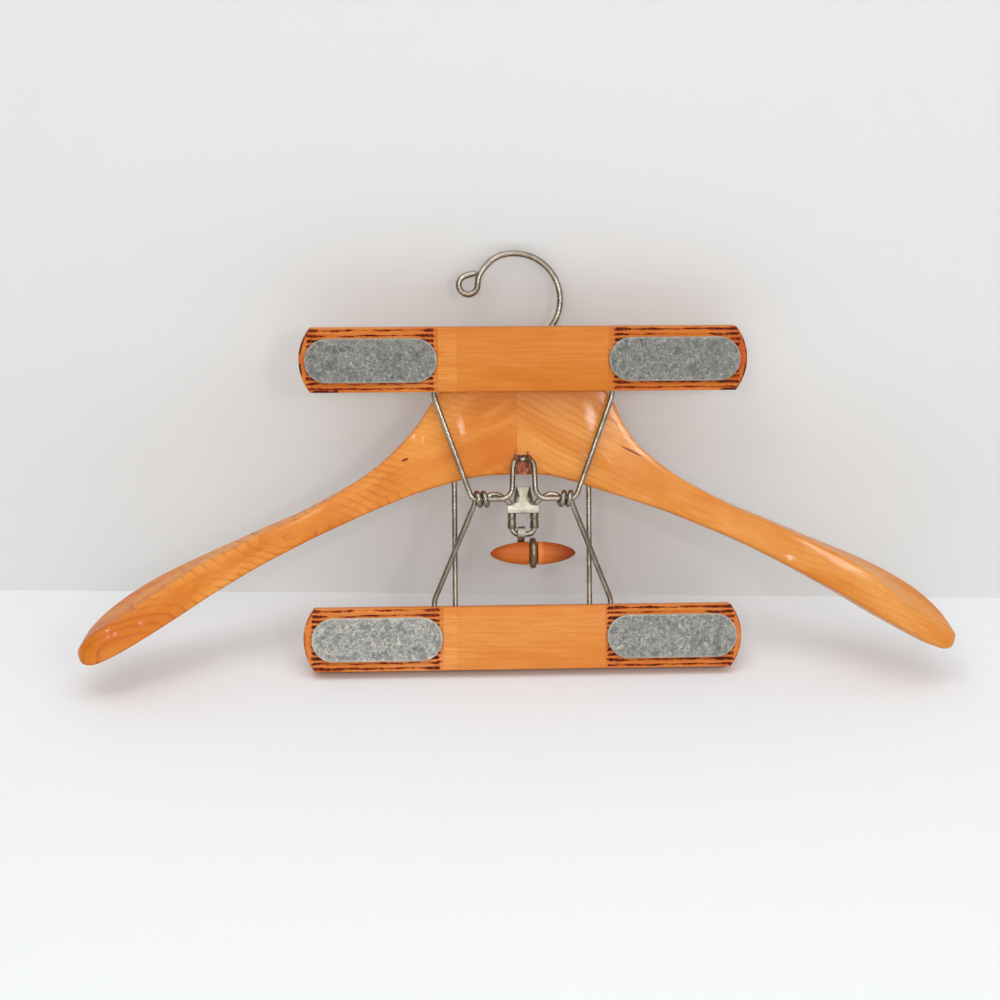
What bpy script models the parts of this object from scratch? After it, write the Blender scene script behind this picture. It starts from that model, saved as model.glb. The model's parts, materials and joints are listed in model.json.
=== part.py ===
"""Wooden suit hanger with a swing-over trouser clamp, at rest with the clamp open.

Run with: blender --background --python part.py
Metres, +Z up, +X to the right, -Y towards the viewer. The origin is the seat inside the hook, where the
hanger hangs on a rail. The lengths below are written in millimetres times MM.
"""

import math

import bmesh
import bpy
import numpy as np
from mathutils import Matrix, Vector

MM = 0.001

# Clearances between pieces that never bond in the mesh
FIT = 0.3 * MM
RUNNING_FIT = 0.35 * MM

# Heights are measured from the clamp's hinge axis, which lies this far below the hook's seat
HOOK_SEAT_ABOVE_AXIS = 124.4 * MM
# The hinge axis runs in front of the body's middle plane, and the clamp hangs right of the seam
AXIS_FORWARD = 12.5 * MM
CLAMP_OFFSET = 3.0 * MM

# Wooden body, as (distance from the seam, height above the hinge axis) in millimetres. The two halves
# were shaped by hand, and the right one sits a little higher towards its tip
TOP_LEFT = ((0, 70), (15, 69.4), (27, 66.2), (36, 59.2), (43.3, 49.4), (49.5, 39.4), (57.4, 30.1), (67.5, 20.4),
            (79.7, 11.3), (95, 2.6), (112, -5.8), (130, -13.4), (147, -20.9), (165, -28.6), (181.2, -36.1),
            (195, -44), (207.5, -53), (216.5, -61.6), (221.4, -69.2), (223.2, -74))
TOP_RIGHT = ((0, 70), (17, 69.4), (31, 66.4), (42, 60.2), (50, 49.5), (54.5, 39.6), (59.5, 31.2), (67.5, 22.9),
             (79.7, 13.3), (95, 4.8), (112, -3.5), (130, -11.1), (147, -18.5), (165, -26.1), (181.2, -33.1),
             (195, -40.1), (207.5, -48.4), (216.5, -57.3), (221.4, -65), (223.4, -71))
UNDERSIDE_LEFT = ((0, 12.4), (14, 12), (26, 10.2), (38, 7), (51, 3.2), (64, -1.7), (77, -6.9), (90, -12.6),
                  (103, -18.5), (116, -24.9), (129, -31.3), (142, -38.5), (155, -46.1), (168, -54.2), (184, -64.3),
                  (197, -71.9), (208, -77.6), (216, -80.5), (221.4, -79.3), (223.2, -74))
UNDERSIDE_RIGHT = ((0, 12.4), (14, 12), (26, 9.6), (38, 5.8), (51, 1.5), (64, -2.7), (77, -7.3), (90, -12.5),
                   (103, -18), (116, -23.9), (129, -30.3), (142, -37.2), (155, -44.5), (168, -52), (184, -61.9),
                   (197, -69.3), (208, -75.3), (216, -78.4), (221.4, -77), (223.4, -71))
# How far the front ridge lies below the upper outline, and the depth of the wood, along the shoulder
RIDGE_DROP_LEFT = ((0, 0), (60, 0), (80, 0.3), (110, 2.2), (140, 2.8), (160, 4), (181, 7.4), (195, 8.6), (207, 7.6),
                   (216, 4.2), (223.2, 0.6))
RIDGE_DROP_RIGHT = ((0, 0), (60, 0), (80, 0.3), (110, 2.2), (140, 2.8), (160, 4), (175, 6), (188, 10.7), (195, 14.4),
                    (207, 17.5), (216, 13), (223.4, 3))
SHOULDER_DEPTH = ((0, 15), (60, 15), (90, 15), (120, 17.5), (150, 22), (180, 27), (200, 28.5), (212, 25), (218, 19),
                  (221.5, 12), (223.4, 5))
SHOULDER_CURL = 24 * MM
CURL_START = 62 * MM
CURL_POWER = 1.7
BODY_EDGE_RADIUS = 3.2 * MM
BODY_STATIONS = 34
SEAM_GAP = 0.3 * MM
SEAM_DOWEL_DIAMETER = 6 * MM
SEAM_DOWEL_LENGTH = 24 * MM
SEAM_DOWEL_HEIGHTS = (19 * MM, 33 * MM)

# Hook
HOOK_WIRE = 3.2 * MM
HOOK_RADIUS = 23.7 * MM
HOOK_NECK_ANGLE = -74
HOOK_ARC_END = 108
# The tip closes in from the arc, as (across, up) in millimetres from the arc's centre
HOOK_TIP = ((-11.2, 19.7), (-15.3, 15.5), (-17.9, 11.2))
HOOK_EYE_CENTRE = (-23.2, 7.5)
HOOK_EYE_RADIUS = 5.05 * MM
HOOK_EYE_END = 64
FULL_TURN = 360
HOOK_STEM_IN_WOOD = 27 * MM
HOOK_HEAD_DIAMETER = 6.4 * MM
HOOK_HEAD_HEIGHT = 2.4 * MM

# Clamp bars and their pads
FRONT_BAR_LENGTH = 228.6 * MM
REAR_BAR_LENGTH = 225.8 * MM
BAR_HEIGHT = 32.6 * MM
BAR_THICKNESS = 12.5 * MM
BAR_END_BULGE = 5.8 * MM
BAR_EDGE = 0.9 * MM
BAR_BELOW_AXIS = 55.2 * MM
PAD_LENGTH = 67.4 * MM
PAD_WIDTH = 22.6 * MM
PAD_THICKNESS = 2.0 * MM
# Distances of the pads' centres from the ends of their bar, left and right as the open clamp is seen
FRONT_PAD_INSETS = (36.3 * MM, 37.3 * MM)
REAR_PAD_INSETS = (37.5 * MM, 36.2 * MM)
FRONT_PADS = tuple(FRONT_BAR_LENGTH / 2 - inset for inset in FRONT_PAD_INSETS)
REAR_PADS = tuple(REAR_BAR_LENGTH / 2 - inset for inset in REAR_PAD_INSETS)
SEAT_RECESS = 0.5 * MM
CLOSED_GAP = 0.4 * MM
OPEN_BAR_FORWARD = 3.5 * MM

# Clamp wires
FRAME_WIRE = 2.8 * MM
WIRE_IN_WOOD = 12 * MM
LEG_AT_BAR = 45.6 * MM
LEG_STRAIGHT = 3 * MM
LEG_BEND = 10 * MM
RUN_END = 26.6 * MM
RUN_BEND = 4.4 * MM
COIL_START = 24.95 * MM
COIL_PITCH = 3.4 * MM
COIL_TURNS = 2
COIL_STEPS = 24
# The leg's last point under the coil, from the coil's start in millimetres
BELOW_COIL = (-0.3, 0.3, -3)
LOOP_HALF_WIDTH = 6.1 * MM
LOOP_HEIGHT = 20.2 * MM
LOOP_FOOT_BEND = 6 * MM
LOOP_CROWN_RADIUS = 3.4 * MM
LOOP_CROWN_REACH = 2.5 * MM
# Where the loop's side draws in below its crown, from the side's corner in millimetres
LOOP_SHOULDER = ((0.6, 0, -4.5), (1.3, 0.5, -1.6))
DROP_BEHIND_AXIS = 5.5 * MM
DROP_HALF_WIDTH = 5.8 * MM
DROP_DEPTH = 18.3 * MM
DROP_BEND = 3.6 * MM
DROP_LEAD = 0.4 * MM
# Steps of the crossing from the coil's end, and its shoulder from the drop's top, in millimetres
CROSSING_FROM_COIL = ((1.6, 0.2, 0.9), (5.2, 0.9, 0.7))
DROP_SHOULDER = (-1.9, -0.6, 3.1)
SUSPENSION_WIRE = 2.8 * MM
SUSPENSION_HALF_SPACING = 34.7 * MM
SUSPENSION_IN_BODY = 16 * MM
NOTCH_TOP = 22.5 * MM

# Catch plate, pull tongue, ring and grip
SHEET = 0.8 * MM
PLATE_BEHIND_SLEEVES = 0.35 * MM
# The plate's shape in millimetres, from its top down: height, then the half width at the fold and how far
# it stands back there, then the same at the edge
PLATE_ROWS = ((6.2, 3, 0, 3.8, 0.5), (2.8, 2.5, 0, 3.9, 1.1), (-0.3, 2.1, 0, 4.4, 1.4), (-2.4, 2.9, 0, 5, 0.6),
              (-3.8, 5.4, 0, 8.1, 0), (-5.9, 5.8, 0, 8.1, 0), (-7.2, 5.6, -0.5, 7.8, -0.9))
SLEEVE_WALL = 0.5 * MM
SLEEVE_TOP = 4.8 * MM
SLEEVE_LENGTH = 10.6 * MM
TONGUE_WIDTH = 3.7 * MM
TONGUE_THICKNESS = 1.0 * MM
TONGUE_CURL_FIT = 0.5 * MM
TONGUE_RISE = 1.2 * MM
TONGUE_OFFSET = -1.0 * MM
SADDLE_HEIGHT = 3.0 * MM
GRIP_OFFSET = 4.8 * MM
GRIP_DROP = 9.7 * MM
GRIP_FORWARD = 0.9 * MM
GRIP_LENGTH = 44 * MM
GRIP_DIAMETER = 12.2 * MM
GRIP_FULLNESS = 0.58
RING_WIRE = 3.4 * MM
GROOVE_DIAMETER = 8.4 * MM
GROOVE_SIDE = 0.9 * MM
GRIP_STATIONS = 11

# Places that follow from the sizes above
NECK_HEIGHT = TOP_LEFT[0][1] * MM
AXIS_HEIGHT = -HOOK_SEAT_ABOVE_AXIS
CLAMP_AXIS = Vector((CLAMP_OFFSET, -AXIS_FORWARD, AXIS_HEIGHT))
BODY_FRONT = AXIS_FORWARD - SHOULDER_DEPTH[0][1] * MM / 2
BAR_CENTRE_DROP = BAR_BELOW_AXIS + BAR_HEIGHT / 2
PAD_STANDS_PROUD = PAD_THICKNESS + FIT - SEAT_RECESS
CLOSED_BAR_SHIFT = AXIS_FORWARD - BAR_THICKNESS - 2 * PAD_STANDS_PROUD - CLOSED_GAP
CLOSED_LEAN = math.atan2(-CLOSED_BAR_SHIFT, BAR_CENTRE_DROP)
OPEN_LEAN = math.atan2(OPEN_BAR_FORWARD, BAR_CENTRE_DROP)
CLAMP_SWING = math.pi - CLOSED_LEAN - OPEN_LEAN
COIL_RADIUS = FRAME_WIRE + RUNNING_FIT
PULL_PIVOT = CLAMP_AXIS + Vector((0, DROP_BEHIND_AXIS, -DROP_DEPTH))
RING_RADIUS = GROOVE_DIAMETER / 2 + RUNNING_FIT + RING_WIRE / 2
CUT_PAST = 1 * MM


def clear_scene():
    for obj in list(bpy.data.objects):
        bpy.data.objects.remove(obj, do_unlink=True)


def make_collection(name):
    collection = bpy.data.collections.new(name)
    bpy.context.scene.collection.children.link(collection)
    return collection


def material(name, colour, roughness, metallic=0.0):
    made = bpy.data.materials.new(name)
    made.use_nodes = True
    shader = made.node_tree.nodes["Principled BSDF"]
    shader.inputs["Base Color"].default_value = (*colour, 1)
    shader.inputs["Roughness"].default_value = roughness
    shader.inputs["Metallic"].default_value = metallic
    return made


def empty(name, place):
    obj = bpy.data.objects.new(name, None)
    obj.location = place
    PARTS.objects.link(obj)
    return obj


def placed(obj, finish, parent=None, smooth_angle=None):
    """Link a finished piece, give it its material and its parent, and shade it."""
    PARTS.objects.link(obj)
    obj.data.materials.append(finish)
    obj.parent = parent
    if smooth_angle is not None:
        obj.data.shade_smooth()
        obj.data.set_sharp_from_angle(angle=math.radians(smooth_angle))
    return obj


def object_from_bmesh(name, build):
    mesh = bpy.data.meshes.new(name)
    build.to_mesh(mesh)
    build.free()
    return bpy.data.objects.new(name, mesh)


def cutter(name, build, transform):
    """A helper solid in world space that is only subtracted."""
    build.transform(transform)
    obj = object_from_bmesh(name, build)
    CUTTERS.objects.link(obj)
    obj.hide_render = True
    obj.display_type = "WIRE"
    return obj


def cylinder(radius, length, segments=24):
    """A cylinder along Z about the origin."""
    build = bmesh.new()
    bmesh.ops.create_cone(build, cap_ends=True, segments=segments, radius1=radius, radius2=radius, depth=length)
    return build


def block(size):
    build = bmesh.new()
    bmesh.ops.create_cube(build, size=1)
    bmesh.ops.scale(build, vec=size, verts=build.verts)
    return build


def subtract(obj, tool):
    cut = obj.modifiers.new(tool.name, "BOOLEAN")
    cut.operation = "DIFFERENCE"
    cut.solver = "EXACT"
    cut.object = tool


def union(obj, other):
    join = obj.modifiers.new("join_" + other.name, "BOOLEAN")
    join.operation = "UNION"
    join.solver = "EXACT"
    join.object = other


def drill(name, mouth, direction, depth, diameter):
    """A round cutter that starts CUT_PAST outside the mouth and runs depth into the wood."""
    direction = Vector(direction).normalized()
    turn = direction.to_track_quat("Z", "Y").to_matrix().to_4x4()
    middle = Vector(mouth) + direction * (depth - CUT_PAST) / 2
    return cutter(name, cylinder(diameter / 2, depth + CUT_PAST), Matrix.Translation(middle) @ turn)


def smooth_through(points, steps):
    """A Catmull-Rom curve through the points, with steps pieces between each pair."""
    p = np.array(points, float)
    p = np.vstack([2 * p[0] - p[1], p, 2 * p[-1] - p[-2]])
    made = []
    for i in range(1, len(p) - 2):
        for t in np.arange(steps) / steps:
            made.append(0.5 * (2 * p[i] + (p[i + 1] - p[i - 1]) * t
                               + (2 * p[i - 1] - 5 * p[i] + 4 * p[i + 1] - p[i + 2]) * t**2
                               + (3 * p[i] - p[i - 1] - 3 * p[i + 1] + p[i + 2]) * t**3))
    made.append(p[-2])
    return [Vector(q) for q in made]


def bend(before, corner, after, radius, steps=8):
    """Points on the arc of this radius that rounds a corner between two straight runs."""
    corner = Vector(corner)
    u = (Vector(before) - corner).normalized()
    v = (Vector(after) - corner).normalized()
    half = u.angle(v) / 2
    run = radius / math.tan(half)
    centre = corner + (u + v).normalized() * radius / math.sin(half)
    start = corner + u * run - centre
    end = corner + v * run - centre
    sweep = start.angle(end)
    made = []
    for i in range(steps + 1):
        share = i / steps
        made.append(centre + (start * math.sin((1 - share) * sweep) + end * math.sin(share * sweep)) / math.sin(sweep))
    return made


def mirrored(route):
    """The route carried on through the plane X = 0 to its mirror image."""
    other = [Vector((-p.x, p.y, p.z)) for p in reversed(route)]
    if (route[-1] - other[0]).length < 0.1 * MM:
        other = other[1:]
    return route + other


def wire(name, route, diameter, finish, parent, sides_level=2):
    """A round wire with flat ends along the route."""
    curve = bpy.data.curves.new(name, "CURVE")
    curve.dimensions = "3D"
    curve.bevel_depth = diameter / 2
    curve.bevel_resolution = sides_level
    curve.use_fill_caps = True
    spline = curve.splines.new("POLY")
    spline.points.add(len(route) - 1)
    for point, place in zip(spline.points, route):
        point.co = (*place, 1)
    spline.use_smooth = True
    obj = bpy.data.objects.new(name, curve)
    return placed(obj, finish, parent)


def mesh_of(obj):
    """Turn a curve object into a mesh object with welded caps, in place."""
    bpy.context.view_layer.update()
    graph = bpy.context.evaluated_depsgraph_get()
    mesh = bpy.data.meshes.new_from_object(obj.evaluated_get(graph))
    build = bmesh.new()
    build.from_mesh(mesh)
    bmesh.ops.remove_doubles(build, verts=build.verts, dist=0.01 * MM)
    build.transform(obj.matrix_world)
    build.to_mesh(mesh)
    build.free()
    name = obj.name
    bpy.data.objects.remove(obj)
    made = bpy.data.objects.new(name, mesh)
    made.data.materials.clear()
    return made


def flat_outline(name, outline, thickness):
    """A flat piece in the XZ plane, filled inside the outline, thickness along Y about Y = 0."""
    curve = bpy.data.curves.new(name, "CURVE")
    curve.dimensions = "2D"
    curve.fill_mode = "BOTH"
    curve.extrude = thickness / 2
    spline = curve.splines.new("POLY")
    spline.points.add(len(outline) - 1)
    for point, (x, z) in zip(spline.points, outline):
        point.co = (x, z, 0, 1)
    spline.use_cyclic_u = True
    obj = bpy.data.objects.new(name, curve)
    obj.rotation_euler.x = math.pi / 2
    PARTS.objects.link(obj)
    return mesh_of(obj)


# The wooden body

def outline_height(points, x):
    """The value of a table of millimetres at the distance x from the seam, smooth between its points."""
    curve = np.array([(p.x, p.y) for p in smooth_through([(a, b, 0) for a, b in points], 6)])
    return float(np.interp(x / MM, curve[:, 0], curve[:, 1])) * MM


def shoulder_centre(x):
    """How far the middle of the wood stands back of the body's plane, negative towards the front."""
    reach = max(0.0, x - CURL_START) / (TOP_LEFT[-1][0] * MM - CURL_START)
    return -SHOULDER_CURL * reach**CURL_POWER


def corner_arc(before, corner, after, radius, steps=3):
    """Rounds a section's corner between its neighbours, never past the middle of an edge."""
    u = before - corner
    v = after - corner
    start = corner + u * min(0.45, radius / u.length)
    end = corner + v * min(0.45, radius / v.length)
    return [(1 - t)**2 * start + 2 * t * (1 - t) * corner + t**2 * end for t in (i / steps for i in range(steps + 1))]


def body_section(top_points, ridge_drop, underside, x):
    """The closed section of a shoulder at x, as (y, z) points that run round from the rear top edge."""
    top = outline_height(top_points, x)
    bottom = outline_height(underside, x)
    depth = outline_height(SHOULDER_DEPTH, x)
    middle = shoulder_centre(x)
    drop = min(outline_height(ridge_drop, x), 0.6 * (top - bottom))
    corners = [Vector((middle + depth / 2, top)), Vector((middle - depth / 2, top - drop)),
               Vector((middle - depth / 2, bottom)), Vector((middle + depth / 2, bottom))]
    made = []
    for i, corner in enumerate(corners):
        made += corner_arc(corners[i - 1], corner, corners[(i + 1) % 4], BODY_EDGE_RADIUS)
    return made


def body_half(name, side, top_points, ridge_drop, underside, finish):
    """One shoulder, lofted outward from the seam: side is -1 on the left and 1 on the right."""
    reach = top_points[-1][0] * MM - SEAM_GAP
    build = bmesh.new()
    rings = []
    for i in range(BODY_STATIONS):
        # Stations crowd together towards the tip, where the outline turns fastest
        share = math.sin(math.pi / 2 * i / (BODY_STATIONS - 1)) ** 0.9
        x = SEAM_GAP / 2 + share * (reach - SEAM_GAP / 2)
        section = body_section(top_points, ridge_drop, underside, x)
        rings.append([build.verts.new((side * x, y, AXIS_HEIGHT + z)) for y, z in section])
    for inner, outer in zip(rings, rings[1:]):
        for k in range(len(inner)):
            build.faces.new((inner[k - 1], inner[k], outer[k], outer[k - 1]))
    build.faces.new(rings[0])
    build.faces.new(rings[-1])
    bmesh.ops.recalc_face_normals(build, faces=build.faces)
    half = placed(object_from_bmesh(name, build), finish, smooth_angle=40)
    stem_bottom = NECK_HEIGHT - HOOK_STEM_IN_WOOD
    crest = Vector((0, 0, AXIS_HEIGHT + NECK_HEIGHT))
    subtract(half, drill(name + "_stem_hole", crest, (0, 0, -1), HOOK_STEM_IN_WOOD + FIT, HOOK_WIRE + 2 * FIT))
    head_middle = Vector((0, 0, AXIS_HEIGHT + stem_bottom + HOOK_HEAD_HEIGHT / 2))
    subtract(half, cutter(name + "_head_hole",
                          cylinder(HOOK_HEAD_DIAMETER / 2 + FIT, HOOK_HEAD_HEIGHT + 2 * FIT),
                          Matrix.Translation(head_middle)))
    for i, height in enumerate(SEAM_DOWEL_HEIGHTS):
        hole = cylinder(SEAM_DOWEL_DIAMETER / 2 + FIT, SEAM_DOWEL_LENGTH + 2 * FIT)
        place = Matrix.Translation((0, 0, AXIS_HEIGHT + height)) @ Matrix.Rotation(math.pi / 2, 4, "Y")
        subtract(half, cutter(f"{name}_dowel_hole_{i}", hole, place))
    subtract(half, notch_cutter(name + "_notch"))
    x = CLAMP_OFFSET + side * SUSPENSION_HALF_SPACING
    mouth = Vector((x, 0, AXIS_HEIGHT + suspension_top(side, underside) - SUSPENSION_IN_BODY - SUSPENSION_WIRE))
    subtract(half, drill(name + "_wire_hole", mouth, (0, 0, 1), SUSPENSION_IN_BODY + SUSPENSION_WIRE + FIT,
                         SUSPENSION_WIRE + 2 * FIT))
    return half


def notch_cutter(name):
    """The recess in the front of the wood that takes the catch loop's crown, open below."""
    half_width = LOOP_CROWN_RADIUS + FRAME_WIRE / 2 + RUNNING_FIT
    back = LOOP_CROWN_REACH + LOOP_CROWN_RADIUS + FRAME_WIRE / 2 + RUNNING_FIT
    front = BODY_FRONT - CUT_PAST
    bottom = outline_height(UNDERSIDE_LEFT, 0) - 2 * CUT_PAST
    size = (2 * half_width, back - front, NOTCH_TOP - bottom)
    middle = CLAMP_AXIS + Vector((0, (front + back) / 2, (NOTCH_TOP + bottom) / 2))
    return cutter(name, block(size), Matrix.Translation(middle))


def suspension_top(side, underside):
    """The height above the axis where a suspension wire ends inside the wood."""
    return outline_height(underside, abs(CLAMP_OFFSET + side * SUSPENSION_HALF_SPACING)) + SUSPENSION_IN_BODY


def seam_dowel(name, height, finish):
    """A dowel along X across the seam."""
    dowel = cylinder(SEAM_DOWEL_DIAMETER / 2, SEAM_DOWEL_LENGTH)
    dowel.transform(Matrix.Translation((0, 0, AXIS_HEIGHT + height)) @ Matrix.Rotation(math.pi / 2, 4, "Y"))
    return placed(object_from_bmesh(name, dowel), finish, smooth_angle=40)


# The hook

def arc(centre, radius, first, last, steps):
    """Points on a circle in the XZ plane, by angle in degrees from +X towards +Z."""
    angles = np.radians(np.linspace(first, last, steps + 1))
    return [Vector((centre[0] + radius * math.cos(a), 0, centre[1] + radius * math.sin(a))) for a in angles]


def hook_route(seat_to_crest):
    """From the stem's foot in the wood, up round the crook and into the rolled eye."""
    centre = (0.0, HOOK_WIRE / 2 - HOOK_RADIUS)
    neck = math.radians(HOOK_NECK_ANGLE)
    # The stem's bend turns from straight up into the crook's direction at its lower end
    turn = math.pi / 2 + neck
    end = Vector((math.cos(neck), 0, math.sin(neck))) * HOOK_RADIUS + Vector((centre[0], 0, centre[1]))
    bend_radius = end.x / (1 - math.sin(turn))
    stem_top = end.z - bend_radius * math.cos(turn)
    foot = -seat_to_crest - HOOK_STEM_IN_WOOD
    route = [Vector((0, 0, foot)), Vector((0, 0, (foot + stem_top) / 2))]
    route += arc((bend_radius, stem_top), bend_radius, 180, 90 + math.degrees(turn), 8)
    route += arc(centre, HOOK_RADIUS, HOOK_NECK_ANGLE, HOOK_ARC_END, 34)[1:]
    eye = Vector((HOOK_EYE_CENTRE[0] * MM + centre[0], 0, HOOK_EYE_CENTRE[1] * MM + centre[1]))
    # The eye rolls outward: down its right side, round below and back up to the shank
    roll = arc((eye.x, eye.z), HOOK_EYE_RADIUS, 4, HOOK_EYE_END - FULL_TURN, 22)
    tip = [Vector((x * MM + centre[0], 0, z * MM + centre[1])) for x, z in HOOK_TIP]
    route += smooth_through([route[-1]] + tip + [roll[0]], 4)[1:-1]
    route += roll
    return route


def hook(finish):
    crest = HOOK_SEAT_ABOVE_AXIS - NECK_HEIGHT
    head = cylinder(HOOK_HEAD_DIAMETER / 2, HOOK_HEAD_HEIGHT)
    head.transform(Matrix.Translation((0, 0, -crest - HOOK_STEM_IN_WOOD + HOOK_HEAD_HEIGHT / 2 + FIT / 2)))
    stem = mesh_of(wire("hook", hook_route(crest), HOOK_WIRE, finish, None))
    placed(stem, finish, smooth_angle=50)
    head_tool = cutter("hook_head", head, Matrix.Identity(4))
    union(stem, head_tool)
    return stem


# The clamp's bars and pads

def bar_outline(length):
    """The bar seen from the front: straight edges and a shallow arc at each end."""
    half_height = BAR_HEIGHT / 2
    radius = (half_height**2 + BAR_END_BULGE**2) / (2 * BAR_END_BULGE)
    span = math.asin(half_height / radius)
    points = []
    for i in range(13):
        angle = -span + 2 * span * i / 12
        points.append((length / 2 - radius + radius * math.cos(angle), radius * math.sin(angle)))
    return points + [(-x, -z) for x, z in points]


def pad_outline():
    radius = PAD_WIDTH / 2
    straight = PAD_LENGTH / 2 - radius
    points = []
    for i in range(13):
        angle = math.radians(-90 + 15 * i)
        points.append((straight + radius * math.cos(angle), radius * math.sin(angle)))
    return points + [(-x, -z) for x, z in points]


def bar(name, finish, length, transform, holes, pads, parent=None):
    """A bar whose pad seats face -Y and whose wires enter its top edge, then moved by transform."""
    obj = flat_outline(name, bar_outline(length), BAR_THICKNESS)
    placed(obj, finish, parent, smooth_angle=40)
    obj.data.transform(from_pivot(parent) @ transform)
    edge = obj.modifiers.new("edge", "BEVEL")
    edge.width = BAR_EDGE
    edge.segments = 2
    edge.angle_limit = math.radians(40)
    for side, centre in zip((-1, 1), pads):
        inner_edge = centre - PAD_LENGTH / 2 - FIT
        width = length / 2 + CUT_PAST - inner_edge
        seat = block((width, 2 * SEAT_RECESS, BAR_HEIGHT + 2 * CUT_PAST))
        middle = Vector((side * (inner_edge + width / 2), -BAR_THICKNESS / 2, 0))
        subtract(obj, cutter(f"{name}_seat_{side}", seat, transform @ Matrix.Translation(middle)))
    for i, (x, depth) in enumerate(holes):
        mouth = Vector((x, 0, BAR_HEIGHT / 2 + CUT_PAST))
        tool = cylinder(FRAME_WIRE / 2 + FIT, depth + CUT_PAST + FIT)
        place = transform @ Matrix.Translation(mouth - Vector((0, 0, (depth + CUT_PAST + FIT) / 2)))
        subtract(obj, cutter(f"{name}_hole_{i}", tool, place))
    return obj


def pad(name, finish, centre, transform, parent=None):
    """A felt pad on the -Y face of a bar, its middle at the place called centre along it."""
    obj = flat_outline(name, pad_outline(), PAD_THICKNESS)
    placed(obj, finish, parent, smooth_angle=40)
    proud = BAR_THICKNESS / 2 - SEAT_RECESS + FIT + PAD_THICKNESS / 2
    obj.data.transform(from_pivot(parent) @ transform @ Matrix.Translation((centre, -proud, 0)))
    edge = obj.modifiers.new("edge", "BEVEL")
    edge.width = 0.4 * MM
    edge.segments = 1
    edge.angle_limit = math.radians(40)
    return obj


def from_pivot(parent):
    """World space as seen from the piece's pivot, or unchanged without one."""
    return Matrix.Translation(-parent.location) if parent else Matrix.Identity(4)


def shut_to_open(point):
    """Where a point of the swinging frame, given with the clamp shut, lies with the clamp open."""
    return Matrix.Rotation(-CLAMP_SWING, 3, "X") @ Vector(point)


# The clamp's wires, about the hinge axis

def leg_points(y, swing):
    """The stretch of leg in and above a bar: its foot in the wood and its corner above the edge."""
    foot = Vector((-LEG_AT_BAR, y, -BAR_BELOW_AXIS - WIRE_IN_WOOD))
    corner = Vector((-LEG_AT_BAR, y, -BAR_BELOW_AXIS + LEG_STRAIGHT))
    return swing(foot), swing(corner)


def front_frame_route():
    """Left leg, the run through the left coil, and half of the upright catch loop, then mirrored."""
    foot, knee = leg_points(CLOSED_BAR_SHIFT, shut_to_open)
    run = Vector((-RUN_END, 0, 0))
    loop_foot = Vector((-LOOP_HALF_WIDTH, 0, 0))
    shoulder = Vector((-LOOP_CROWN_RADIUS, LOOP_CROWN_REACH, LOOP_HEIGHT))
    loop_side, knuckle = (Vector((-LOOP_HALF_WIDTH, 0, LOOP_HEIGHT)) + Vector(step) * MM for step in LOOP_SHOULDER)
    route = [foot]
    route += bend(foot, knee, run, LEG_BEND)
    route += bend(knee, run, loop_foot, RUN_BEND)
    route += bend(run, loop_foot, loop_side, LOOP_FOOT_BEND)
    route += smooth_through([loop_side, knuckle, shoulder], 4)
    for angle in (30, 60, 90):
        turn = math.radians(angle)
        route.append(Vector((-LOOP_CROWN_RADIUS * math.cos(turn),
                             LOOP_CROWN_REACH + LOOP_CROWN_RADIUS * math.sin(turn), LOOP_HEIGHT)))
    return mirrored(route)


def coil_route():
    """The turns round the front frame's run: over the top from behind and down the front."""
    made = []
    for i in range(COIL_TURNS * COIL_STEPS + 2):
        turn = 2 * math.pi * i / COIL_STEPS
        made.append(Vector((-COIL_START + COIL_PITCH * i / COIL_STEPS,
                            COIL_RADIUS * math.cos(turn), COIL_RADIUS * math.sin(turn))))
    return made


def rear_frame_route():
    """Left leg, the left coil, the crossing behind the run and half of the drop loop, then mirrored."""
    foot, knee = leg_points(AXIS_FORWARD, Vector)
    coil = coil_route()
    below_coil = coil[0] + Vector(BELOW_COIL) * MM
    route = [foot]
    route += bend(foot, knee, below_coil, LEG_BEND)
    route.append(below_coil)
    route += coil
    drop_top = Vector((-DROP_HALF_WIDTH, DROP_BEHIND_AXIS, -SLEEVE_TOP + DROP_LEAD))
    crossing = [coil[-1]] + [coil[-1] + Vector(step) * MM for step in CROSSING_FROM_COIL]
    crossing += [drop_top + Vector(DROP_SHOULDER) * MM, drop_top]
    route += smooth_through(crossing, 4)[1:]
    corner = Vector((-DROP_HALF_WIDTH, DROP_BEHIND_AXIS, -DROP_DEPTH))
    route += bend(drop_top, corner, Vector((0, DROP_BEHIND_AXIS, -DROP_DEPTH)), DROP_BEND)
    return mirrored(route)


def least_gap(route, diameter):
    """The least clear distance between stretches of a wire that are over three diameters apart along it."""
    points = np.array([tuple(p) for p in route])
    along_wire = np.concatenate([[0], np.cumsum(np.linalg.norm(np.diff(points, axis=0), axis=1))])
    apart = np.linalg.norm(points[:, None] - points[None], axis=2)
    apart[np.abs(along_wire[:, None] - along_wire[None]) < 3 * diameter] = np.inf
    return apart.min() - diameter


def suspension_wire(name, side, underside, finish):
    x = CLAMP_OFFSET + side * SUSPENSION_HALF_SPACING
    top = AXIS_HEIGHT + suspension_top(side, underside)
    bottom = AXIS_HEIGHT - BAR_BELOW_AXIS - WIRE_IN_WOOD
    steps = 6
    route = [Vector((x, 0, top + (bottom - top) * i / steps)) for i in range(steps + 1)]
    return wire(name, route, SUSPENSION_WIRE, finish, None)


# The catch between the two frames

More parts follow.
